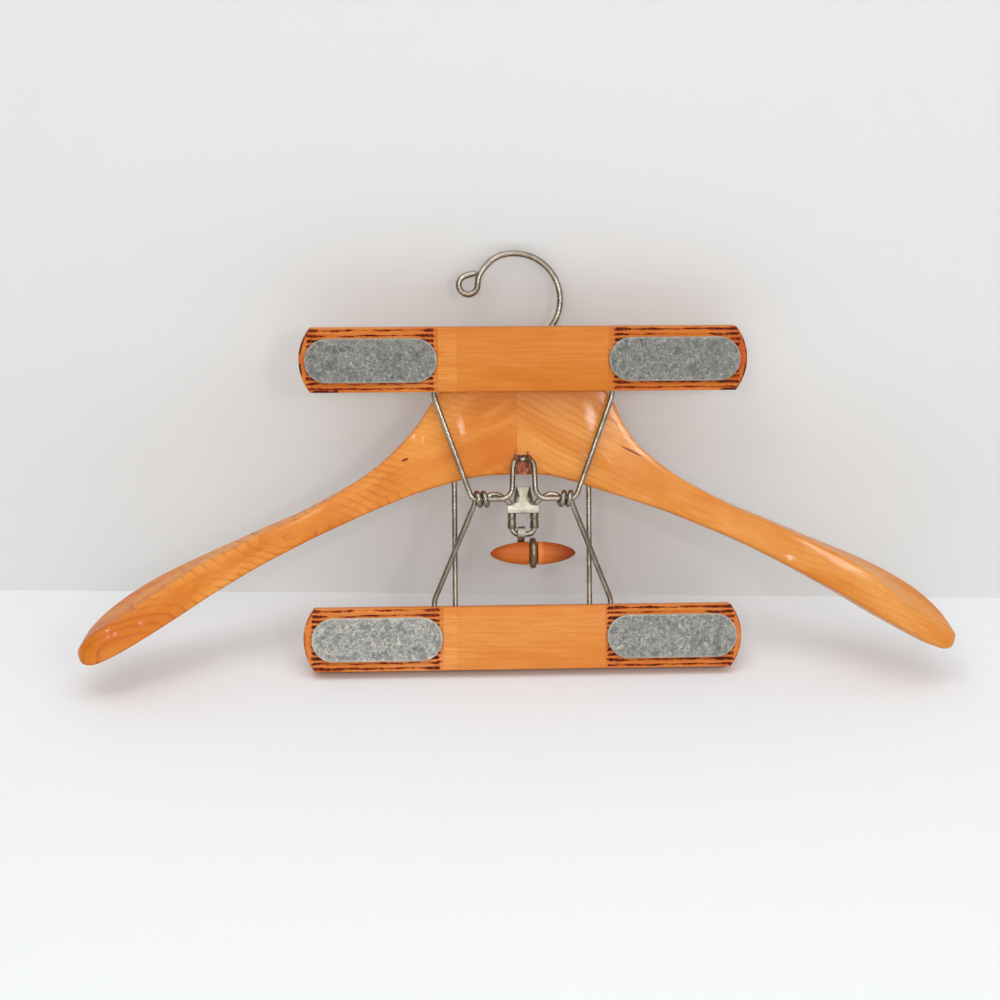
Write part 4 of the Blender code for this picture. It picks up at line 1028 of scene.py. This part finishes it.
def round_rims(build, radius, before=math.inf):
    """Rounds the rims of a slab's two faces, or only of those with a Y less than before."""
    rims = [e for e in build.edges if abs(e.verts[0].co.y - e.verts[1].co.y) < 0.1 * MM]
    rims = [e for e in rims if e.verts[0].co.y < before]
    bmesh.ops.bevel(build, geom=rims, affect="EDGES", offset=radius, segments=4, profile=0.5, material=-1)


def bar(name, length, place, pads, holes, finish, body, node):
    """A bar with rounded ends, its pad seats let in on the -Y side and scored with shallow grooves."""
    half_height = BAR_HEIGHT / 2
    end_radius = (half_height**2 + BAR_END_BULGE**2) / (2 * BAR_END_BULGE)
    build = slab(length / 2, end_radius, math.asin(half_height / end_radius), BAR_FACE, BAR_THICKNESS)
    round_rims(build, BAR_EDGE)
    piece = solid(name, build)
    seats, grooves, wire_holes = bmesh.new(), bmesh.new(), bmesh.new()
    for side, pad_centre in zip((-1, 1), pads):
        inner = pad_centre - PAD_LENGTH / 2 - PAD_STANDOFF
        width = length / 2 + TOOL_PAST - inner
        middle = Matrix.Translation((side * (inner + width / 2), BAR_FACE, 0))
        size = Matrix.Diagonal((width, 2 * SEAT_RECESS, BAR_HEIGHT + 2 * TOOL_PAST, 1))
        bmesh.ops.create_cube(seats, size=1, matrix=middle @ size)
        run = length / 2 - GROOVE_FROM_END - inner - CUT_START
        depth = BAR_FACE + SEAT_RECESS + GROOVE_DEPTH - GROOVE_RADIUS
        for row in range(GROOVE_ROWS):
            start = (side * (inner + CUT_START), depth, (row - (GROOVE_ROWS - 1) / 2) * GROOVE_PITCH)
            ragged = (noise.noise((7.3 * side, row * 1.7, length * 90)) - 0.2) * CUT_RAGGED
            cylinder_along(grooves, start, (side, 0, 0), GROOVE_RADIUS, run + ragged, 20)
    for x in holes:
        top = (x, 0, half_height + TOOL_PAST)
        cylinder_along(wire_holes, top, (0, 0, -1), WIRE_HOLE / 2, WIRE_IN_WOOD + TOOL_PAST)
    carve(piece, solid("seats_tool", seats), solid("grooves_tool", grooves),
          solid("wire_holes_tool", wire_holes))
    piece.data.transform(place)
    finished(piece, finish, body, [node], smooth_angle=32)


def pad(name, centre, place, finish, body, node, seed):
    """A felt pad with half-round ends, its edge rounded and its face matted."""
    radius = PAD_WIDTH / 2
    straight = PAD_LENGTH / 2 - radius
    build = slab(PAD_LENGTH / 2, radius, math.pi / 2, 0, PAD_THICKNESS)
    round_rims(build, PAD_EDGE, before=PAD_THICKNESS / 2)
    piece = solid(name, build)
    matting = piece.modifiers.new("matting", "REMESH")
    matting.mode = "VOXEL"
    matting.voxel_size = PAD_VOXEL
    settle(piece)

    # The rim attribute rises from 0 to 1 over the last stretch before the pad's edge
    from_middle = [math.hypot(max(abs(v.co.x) - straight, 0), v.co.z) for v in piece.data.vertices]
    rim = [float(np.clip((out - radius) / MM + PAD_RIM, 0, 1)) for out in from_middle]
    piece.data.attributes.new("rim", "FLOAT", "POINT").data.foreach_set("value", rim)

    proud = BAR_THICKNESS / 2 - SEAT_RECESS + PAD_STANDOFF + PAD_THICKNESS
    build = bmesh.new()
    build.from_mesh(piece.data)
    build.normal_update()
    for vert in build.verts:
        here = vert.co + Vector((seed, 0, 0))
        fine = noise.fractal(here / FINE_TUFTS[0], 0.8, 2.0, 3) * FINE_TUFTS[1]
        broad = noise.noise(here / BROAD_TUFTS[0]) * BROAD_TUFTS[1]
        vert.co += vert.normal * (fine + broad - TUFTS_SUNK) * MM
        vert.co.y = min(vert.co.y, PAD_THICKNESS)
    build.transform(place @ Matrix.Translation((centre, -proud, 0)))
    build.to_mesh(piece.data)
    build.free()
    finished(piece, finish, body, [node], smooth_angle=60)


rear_place = Matrix.Translation((HINGE.x, 0, HINGE.z - BAR_CENTRE_DROP))
shut_bar = Matrix.Translation((0, SHUT_BAR_SHIFT, -BAR_CENTRE_DROP)) @ Matrix.Rotation(math.pi, 4, "Z")
front_place = Matrix.Translation(HINGE) @ Matrix.Rotation(-CLAMP_SWING, 4, "X") @ shut_bar
legs = [side * LEG_AT_BAR for side in (-1, 1)]
hangers = [side * SUSPENSION_HALF_SPACING for side in (-1, 1)]
REAR_LENGTH, FRONT_LENGTH = (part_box(node)[1].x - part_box(node)[0].x for node in ("rear_bar", "front_bar"))
FRONT_TILT = math.degrees(math.pi - CLAMP_SWING - math.atan2(-SHUT_BAR_SHIFT, BAR_CENTRE_DROP))

rear_maple = bar_maple(
    "rear_bar_maple", rear_place.translation, 0, REAR_LENGTH / 2, REAR_PADS[0] - PAD_LENGTH / 2,
    tint(227, 153, 84), tint(208, 122, 46), tone_steps=((-34.5, 0.35), (27, 0.25)), edge_burn=0.3)
front_maple = bar_maple(
    "front_bar_maple", front_place.translation, FRONT_TILT, FRONT_LENGTH / 2, FRONT_PADS[0] - PAD_LENGTH / 2,
    tint(219, 142, 68), tint(197, 110, 32), tone_steps=((-34.5, 0.45),), edge_burn=1.0)
bar("standing_bar", REAR_LENGTH, rear_place, REAR_PADS, legs + hangers, rear_maple, "hanger", "rear_bar")
pad("pad_rear_left", -REAR_PADS[0], rear_place, REAR_FELT, "hanger", "rear_felt_left", 0.1)
pad("pad_rear_right", REAR_PADS[1], rear_place, RIGHT_REAR_FELT, "hanger", "rear_felt_right", 0.3)
# The swinging bar is turned round, so its own left is the viewer's right
bar("swinging_bar", FRONT_LENGTH, front_place, FRONT_PADS[::-1], legs, front_maple, "front_clamp",
    "front_bar")
pad("pad_front_left", FRONT_PADS[0], front_place, FRONT_FELT, "front_clamp", "front_felt_left", 0.5)
pad("pad_front_right", -FRONT_PADS[1], front_place, FRONT_FELT, "front_clamp", "front_felt_right", 0.7)


# The clamp's wires, drawn about the hinge axis

def leg_points(y, swing):
    """The stretch of leg in and above a bar: its foot in the wood and its corner above the edge."""
    foot = Vector((-LEG_AT_BAR, y, -BAR_BELOW_AXIS - WIRE_IN_WOOD))
    corner = Vector((-LEG_AT_BAR, y, -BAR_BELOW_AXIS + LEG_STRAIGHT))
    return swing(foot), swing(corner)


def shut_to_open(point):
    """Where a point of the shut clamp's front stands when the clamp is open."""
    return Matrix.Rotation(-CLAMP_SWING, 3, "X") @ point


def front_frame_route():
    """Left leg, the run through the left coil, and half of the upright catch loop, then mirrored."""
    foot, knee = leg_points(SHUT_BAR_SHIFT, shut_to_open)
    run = Vector((-RUN_END, 0, 0))
    loop_foot = Vector((-LOOP_HALF_WIDTH, 0, 0))
    loop_top = Vector((-LOOP_HALF_WIDTH, 0, LOOP_HEIGHT))
    loop_side, knuckle = (loop_top + Vector(step) * MM for step in LOOP_SHOULDER)
    crown = Vector((-LOOP_CROWN_RADIUS, LOOP_CROWN_REACH, LOOP_HEIGHT))
    route = [foot]
    route += bend(foot, knee, run, LEG_BEND)
    route += bend(knee, run, loop_foot, RUN_BEND)
    route += bend(run, loop_foot, loop_side, LOOP_FOOT_BEND)
    route += smooth_through([loop_side, knuckle, crown], 10)
    for turn in np.radians(np.arange(10, 91, 10)):
        y = LOOP_CROWN_REACH + LOOP_CROWN_RADIUS * math.sin(turn)
        route.append(Vector((-LOOP_CROWN_RADIUS * math.cos(turn), y, LOOP_HEIGHT)))
    return mirrored(route)


def rear_frame_route():
    """Left leg, the left coil, the crossing behind the run and half of the drop loop, then mirrored."""
    foot, knee = leg_points(-HINGE.y, Vector)
    coil = []
    for i in range(COIL_POINTS):
        turn = math.tau * i / COIL_STEPS
        x = -COIL_START + COIL_PITCH * i / COIL_STEPS
        coil.append(Vector((x, COIL_RADIUS * math.cos(turn), COIL_RADIUS * math.sin(turn))))
    below_coil = coil[0] + Vector(BELOW_COIL) * MM
    drop_top = Vector((-DROP_HALF_WIDTH, DROP_BEHIND_AXIS, -SLEEVE_TOP + DROP_LEAD))
    crossing = [coil[-1]] + [coil[-1] + Vector(step) * MM for step in CROSSING_FROM_COIL]
    crossing += [drop_top + Vector(DROP_SHOULDER) * MM, drop_top]
    corner = Vector((-DROP_HALF_WIDTH, DROP_BEHIND_AXIS, -DROP_DEPTH))
    route = [foot] + bend(foot, knee, below_coil, LEG_BEND)
    route += smooth_through([route[-1].lerp(below_coil, 0.9), below_coil, coil[0]], 6)[1:-1] + coil
    route += smooth_through(crossing, 12)[1:]
    route += bend(drop_top, corner, Vector((0, DROP_BEHIND_AXIS, -DROP_DEPTH)), DROP_BEND)
    return mirrored(route)


for wire_name, body, node, route in (
        ("swinging_frame", "front_clamp", "front_frame_wire", front_frame_route()),
        ("standing_frame", "hanger", "rear_frame_wire", rear_frame_route())):
    wire(wire_name, [HINGE + p for p in route], FRAME_WIRE, NICKEL, body, [node])


# The catch plate with its sleeves

def catch_plate():
    """Pressed sheet: a tab and strap with folded wings above the band that joins the sleeves."""
    front = DROP_BEHIND_AXIS - SLEEVE_RADIUS + PLATE_BEHIND_SLEEVES - SHEET
    build = bmesh.new()
    folds = smooth_through([(z, fold, fold_back) for z, fold, fold_back, _, _ in PLATE_ROWS], 4)
    edges = smooth_through([(z, edge, edge_back) for z, _, _, edge, edge_back in PLATE_ROWS], 4)
    lines = []
    for (z, fold, fold_back), (_, edge, edge_back) in zip(folds, edges):
        across = ((-edge, edge_back), (-fold, fold_back), (fold, fold_back), (edge, edge_back))
        lines.append([build.verts.new(HINGE + Vector((x * MM, front + y * MM, z * MM))) for x, y in across])
    for upper, lower in zip(lines, lines[1:]):
        for k in range(3):
            part = build.faces.new((upper[k], lower[k], lower[k + 1], upper[k + 1]))
            # The wings get a darker finish of their own: painted shade, as the wings face sideways and down
            part.material_index = int(k != 1 and part.calc_center_median().z > HINGE.z + WINGS_END)
    return thickened(solid("catch_plate_sheet", build), SHEET, -1, SHEET_EDGE)


def sleeve(name, side):
    """Sheet rolled nearly all the way round a leg, open behind and nipped in at its middle."""
    build = bmesh.new()
    circle = bmesh.ops.create_circle(build, segments=36, radius=SLEEVE_RADIUS - SLEEVE_WALL / 2)["verts"]
    slit = max(circle, key=lambda v: v.co.y + 0.3 * side * v.co.x)
    bmesh.ops.delete(build, geom=[slit], context="VERTS")
    edges = build.edges[:]
    for (last, before), (here, after) in zip(SLEEVE_NIP, SLEEVE_NIP[1:]):
        drawn = bmesh.ops.extrude_edge_only(build, edges=edges)["geom"]
        verts = verts_in(drawn)
        edges = [e for e in edges_in(drawn) if all(v in verts for v in e.verts)]
        bmesh.ops.scale(build, vec=(after / before, after / before, 1), verts=verts)
        bmesh.ops.translate(build, vec=(0, 0, -(here - last) * SLEEVE_LENGTH), verts=verts)
    place = HINGE + Vector((side * DROP_HALF_WIDTH, DROP_BEHIND_AXIS, -SLEEVE_TOP))
    bmesh.ops.translate(build, vec=place, verts=build.verts)
    bmesh.ops.recalc_face_normals(build, faces=build.faces)
    return thickened(solid(name, build), SLEEVE_WALL, 0, SLEEVE_EDGE)


plate = catch_plate()
finished(plate, PLATED_SHEET, "hanger", ["catch_plate"], smooth_angle=24)
plate.data.materials.append(SHADED_WING_SHEET)
for name, side in (("sleeve_left", -1), ("sleeve_right", 1)):
    finished(sleeve(name, side), ROLLED_SHEET, "hanger", ["catch_plate"], smooth_angle=35)


# The pull: tongue, ring and grip

def strip(name, route, width, axis):
    """A strip of the tongue's sheet along a route, with its width along an axis."""
    build = bmesh.new()
    lines = [[build.verts.new(p + Vector(axis) * width * side) for p in route] for side in (-0.5, 0.5)]
    for i in range(len(route) - 1):
        build.faces.new((lines[0][i], lines[0][i + 1], lines[1][i + 1], lines[1][i]))
    return thickened(solid(name, build), TONGUE_THICKNESS, 0, TONGUE_EDGE)


def pull_tongue():
    """Curled over the drop loop's foot, down behind the grip, and a saddle round the back of the ring."""
    curl = FRAME_WIRE / 2 + TONGUE_CURL_FIT + TONGUE_THICKNESS / 2
    grip = GRIP_AXIS - PULL_AXIS
    ring_back = grip.y + RING_RADIUS
    saddle_radius = RING_WIRE / 2 + TONGUE_CLEARANCE + TONGUE_THICKNESS / 2
    clear = GRIP_DIAMETER / 2 + TONGUE_CLEARANCE + TONGUE_THICKNESS / 2
    points = []
    for angle in CURL_ANGLES:
        turn = math.radians(angle)
        stretch = TONGUE_RISE if 0 < angle < 180 else 0
        points.append((TONGUE_OFFSET, curl * math.cos(turn), curl * math.sin(turn) + stretch))
    for angle in BEHIND_GRIP_ANGLES:
        turn = math.radians(angle)
        points.append((TONGUE_OFFSET, clear * math.cos(turn) + grip.y, clear * math.sin(turn) + grip.z))
    for side in (1, -1):
        points.append((TONGUE_OFFSET, ring_back + saddle_radius, grip.z + side * SADDLE_HEIGHT / 2))
    route = [PULL_AXIS + p for p in smooth_through(points, 4)]
    tongue = strip("tongue_strip", route, TONGUE_WIDTH, (1, 0, 0))
    around = [Vector((TONGUE_OFFSET, ring_back + saddle_radius, grip.z))]
    for angle in SADDLE_ANGLES:
        turn = math.radians(angle)
        x, y = grip.x + saddle_radius * math.cos(turn), ring_back + saddle_radius * math.sin(turn)
        around.append(Vector((x, y, grip.z)))
    saddle = strip("tongue_saddle", [PULL_AXIS + p for p in around], SADDLE_HEIGHT, (0, 0, 1))
    return tongue, saddle


def toggle_grip():
    """The turned grip with pointed ends and a groove for the ring."""
    half_length = GRIP_LENGTH / 2
    start = GRIP_GROOVE_HALF + GRIP_GROOVE_SIDE
    right = [(0.0, GRIP_GROOVE_DIAMETER / 2), (GRIP_GROOVE_HALF, GRIP_GROOVE_DIAMETER / 2)]
    for share in np.sin(np.linspace(0, math.pi / 2, 40, endpoint=False)):
        x = start + share * (half_length - start)
        right.append((x, GRIP_DIAMETER / 2 * (1 - (x / half_length) ** 2) ** GRIP_FULLNESS))
    right.append((half_length, 0.0))
    build = bmesh.new()
    verts = [build.verts.new((x, 0, r)) for x, r in right]
    edges = [build.edges.new(pair) for pair in zip(verts, verts[1:])]
    bmesh.ops.spin(build, geom=verts + edges, axis=(1, 0, 0), cent=(0, 0, 0), angle=math.tau, steps=72,
                   use_merge=True)
    half = build.verts[:] + build.edges[:] + build.faces[:]
    bmesh.ops.mirror(build, geom=half, axis="X", merge_dist=0.01 * MM)
    bmesh.ops.remove_doubles(build, verts=build.verts, dist=0.01 * MM)
    bmesh.ops.recalc_face_normals(build, faces=build.faces)
    shoulders = [e for e in build.edges if abs(abs(e.verts[0].co.x) - start) < 0.02 * MM
                 and abs(e.verts[0].co.x - e.verts[1].co.x) < 0.02 * MM]
    bmesh.ops.bevel(build, geom=shoulders, affect="EDGES", offset=GRIP_GROOVE_EDGE, segments=3, profile=0.5,
                    material=-1)
    bmesh.ops.translate(build, vec=GRIP_AXIS, verts=build.verts)
    return solid("turned_grip", build)


def pull_ring():
    """The wire ring that holds the grip in its groove."""
    build = bmesh.new()
    circle = bmesh.ops.create_circle(build, segments=28, radius=RING_WIRE / 2)["verts"]
    for axis in ("Y", "Z"):
        bmesh.ops.rotate(build, cent=(0, 0, 0), matrix=Matrix.Rotation(math.pi / 2, 3, axis), verts=circle)
    bmesh.ops.translate(build, vec=(0, 0, RING_RADIUS), verts=circle)
    bmesh.ops.spin(build, geom=circle + build.edges[:], axis=(1, 0, 0), cent=(0, 0, 0), angle=math.tau,
                   steps=96, use_merge=True)
    bmesh.ops.recalc_face_normals(build, faces=build.faces)
    bmesh.ops.translate(build, vec=GRIP_AXIS, verts=build.verts)
    return solid("grip_ring", build)


for piece in pull_tongue():
    finished(piece, PLATED_SHEET, "pull", ["pull_tongue"], smooth_angle=35)
finished(pull_ring(), DARK_NICKEL, "pull", ["pull_ring"], smooth_angle=60)
finished(toggle_grip(), grip_maple(), "toggle", ["toggle_grip"], smooth_angle=32)


# Stage, light and camera

rear_bar_low, rear_bar_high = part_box("rear_bar")
TABLE_HEIGHT = Vector((0, rear_bar_high.y, rear_bar_low.z)).dot(UP)


def stage_place(across, forward, height):
    """A point by its distance right of the seam, in front of the wall and above the table."""
    return Vector((across, 0, 0)) + BACK * (WALL_DEPTH - forward) + UP * (TABLE_HEIGHT + height)


def stage_sheet(name, corners, colour):
    """A flat sheet that shows only on its front, and lets light from behind it through to the hanger."""
    build = bmesh.new()
    build.faces.new([build.verts.new(corner) for corner in corners])
    sheet = solid(name, build)
    made = bpy.data.materials.new(name)
    made.use_nodes = True
    nodes, links = made.node_tree.nodes, made.node_tree.links
    shader = nodes["Principled BSDF"]
    shader.inputs["Base Color"].default_value = colour
    shader.inputs["Roughness"].default_value = 1
    shader.inputs["Specular IOR Level"].default_value = 0
    behind = nodes.new("ShaderNodeNewGeometry")
    clear = nodes.new("ShaderNodeBsdfTransparent")
    one_sided = nodes.new("ShaderNodeMixShader")
    links.new(behind.outputs["Backfacing"], one_sided.inputs["Fac"])
    links.new(shader.outputs["BSDF"], one_sided.inputs[1])
    links.new(clear.outputs["BSDF"], one_sided.inputs[2])
    links.new(one_sided.outputs["Shader"], nodes["Material Output"].inputs["Surface"])
    sheet.data.materials.append(made)


nearer = STAGE_HALF_WIDTH * math.tan(-WALL_YAW)
wall_foot = [stage_place(-STAGE_HALF_WIDTH, -nearer, 0), stage_place(STAGE_HALF_WIDTH, nearer, 0)]
table_front = [stage_place(side * STAGE_HALF_WIDTH, TABLE_REACH, 0) for side in (-1, 1)]
wall_top = [corner + WALL_HEIGHT * UP for corner in wall_foot]
stage_sheet("table", [wall_foot[0], *table_front, wall_foot[1]], tint(229, 231, 233))
stage_sheet("wall", [wall_top[0], *wall_foot, wall_top[1]], tint(221, 222, 221))

# Each light's place on the stage, its width and height in metres, its power in watts and its colour
WHITE = (1, 1, 1)
SOFTBOXES = {
    "window_left": ((-0.6, 1.0, 1.85), (0.8, 0.8), 4.2, (1.0, 0.98, 0.95)),
    "ceiling": ((0, 0.5, 1.75), (1.6, 0.6), 4, WHITE),
    "window_right": ((1.3, 1.3, 1.1), (0.8, 1.0), 2.6, WHITE),
    "bright_room_behind_viewer": ((0, 2.3, 0.9), (2.2, 1.3), 5.5, WHITE),
    "lamp_left_of_viewer": ((-0.25, 1.3, 0.72), (0.1, 0.1), 1.4, WHITE),
    "lamp_right_of_viewer": ((0.3, 1.3, 0.72), (0.1, 0.1), 1.4, WHITE),
}
for name, (place, (width, height), power, colour) in SOFTBOXES.items():
    lamp = bpy.data.lights.new(name, "AREA")
    lamp.shape = "RECTANGLE"
    lamp.size = width
    lamp.size_y = height
    lamp.energy = power
    lamp.color = colour
    holder = linked(name, lamp)
    holder.location = stage_place(*place)
    holder.rotation_mode = "QUATERNION"
    holder.rotation_quaternion = (Vector((0, 0, HINGE.z)) - stage_place(*place)).to_track_quat("-Z", "Y")

# The room's light comes more from above, and is darker straight to the left and the right
LIGHT_BY_HEIGHT = ((0.0, 0.5), (0.6, 1.0))
LIGHT_BY_SIDE = ((0.55, 1.0), (0.88, 0.25))
world = bpy.data.worlds.new("room")
world.use_nodes = True
nodes, links = world.node_tree.nodes, world.node_tree.links
direction = nodes.new("ShaderNodeTexCoord").outputs["Generated"]
rise = nodes.new("ShaderNodeVectorMath")
rise.operation = "DOT_PRODUCT"
rise.inputs[1].default_value = UP
sideways = nodes.new("ShaderNodeSeparateXYZ")
away = nodes.new("ShaderNodeMath")
away.operation = "ABSOLUTE"
light = nodes.new("ShaderNodeMix")
light.data_type = "RGBA"
light.blend_type = "MULTIPLY"
light.inputs["Factor"].default_value = 1
links.new(direction, rise.inputs[0])
links.new(direction, sideways.inputs["Vector"])
links.new(sideways.outputs["X"], away.inputs[0])
# Inputs 6 and 7 are the two colours that the Mix node multiplies, and output 2 is the result
for part, socket, stops in ((rise, 6, LIGHT_BY_HEIGHT), (away, 7, LIGHT_BY_SIDE)):
    shade = nodes.new("ShaderNodeValToRGB")
    shade.color_ramp.interpolation = "EASE"
    for element, (position, level) in zip(shade.color_ramp.elements, stops):
        element.position = position
        element.color = (level, level, level, 1)
    links.new(part.outputs["Value"], shade.inputs["Fac"])
    links.new(shade.outputs["Color"], light.inputs[socket])
links.new(light.outputs[2], nodes["Background"].inputs["Color"])
nodes["Background"].inputs["Strength"].default_value = 1
# What the camera sees past the wall and the table is plain and pale
backdrop = nodes.new("ShaderNodeBackground")
backdrop.inputs["Color"].default_value = tint(241, 242, 243)
seen = nodes.new("ShaderNodeMixShader")
links.new(nodes.new("ShaderNodeLightPath").outputs["Is Camera Ray"], seen.inputs["Fac"])
links.new(nodes["Background"].outputs["Background"], seen.inputs[1])
links.new(backdrop.outputs["Background"], seen.inputs[2])
links.new(seen.outputs["Shader"], nodes["World Output"].inputs["Surface"])
bpy.context.scene.world = world
bpy.context.scene.view_settings.view_transform = "Standard"

flat = math.cos(CAMERA_RISE)
forward = Vector((math.sin(CAMERA_TURN) * flat, math.cos(CAMERA_TURN) * flat, -math.sin(CAMERA_RISE)))
right = Vector((math.cos(CAMERA_TURN), -math.sin(CAMERA_TURN), 0))
above = right.cross(forward)
rolled_right = math.cos(CAMERA_ROLL) * right + math.sin(CAMERA_ROLL) * above
rolled_above = math.cos(CAMERA_ROLL) * above - math.sin(CAMERA_ROLL) * right
camera = linked("camera", bpy.data.cameras.new("camera"))
camera.data.lens = CAMERA_LENS
camera.data.sensor_width = CAMERA_SENSOR
turned = Matrix((rolled_right, rolled_above, -forward)).transposed().to_4x4()
camera.matrix_world = Matrix.Translation(CAMERA_AIM - forward * CAMERA_DISTANCE) @ turned
bpy.context.scene.camera = camera
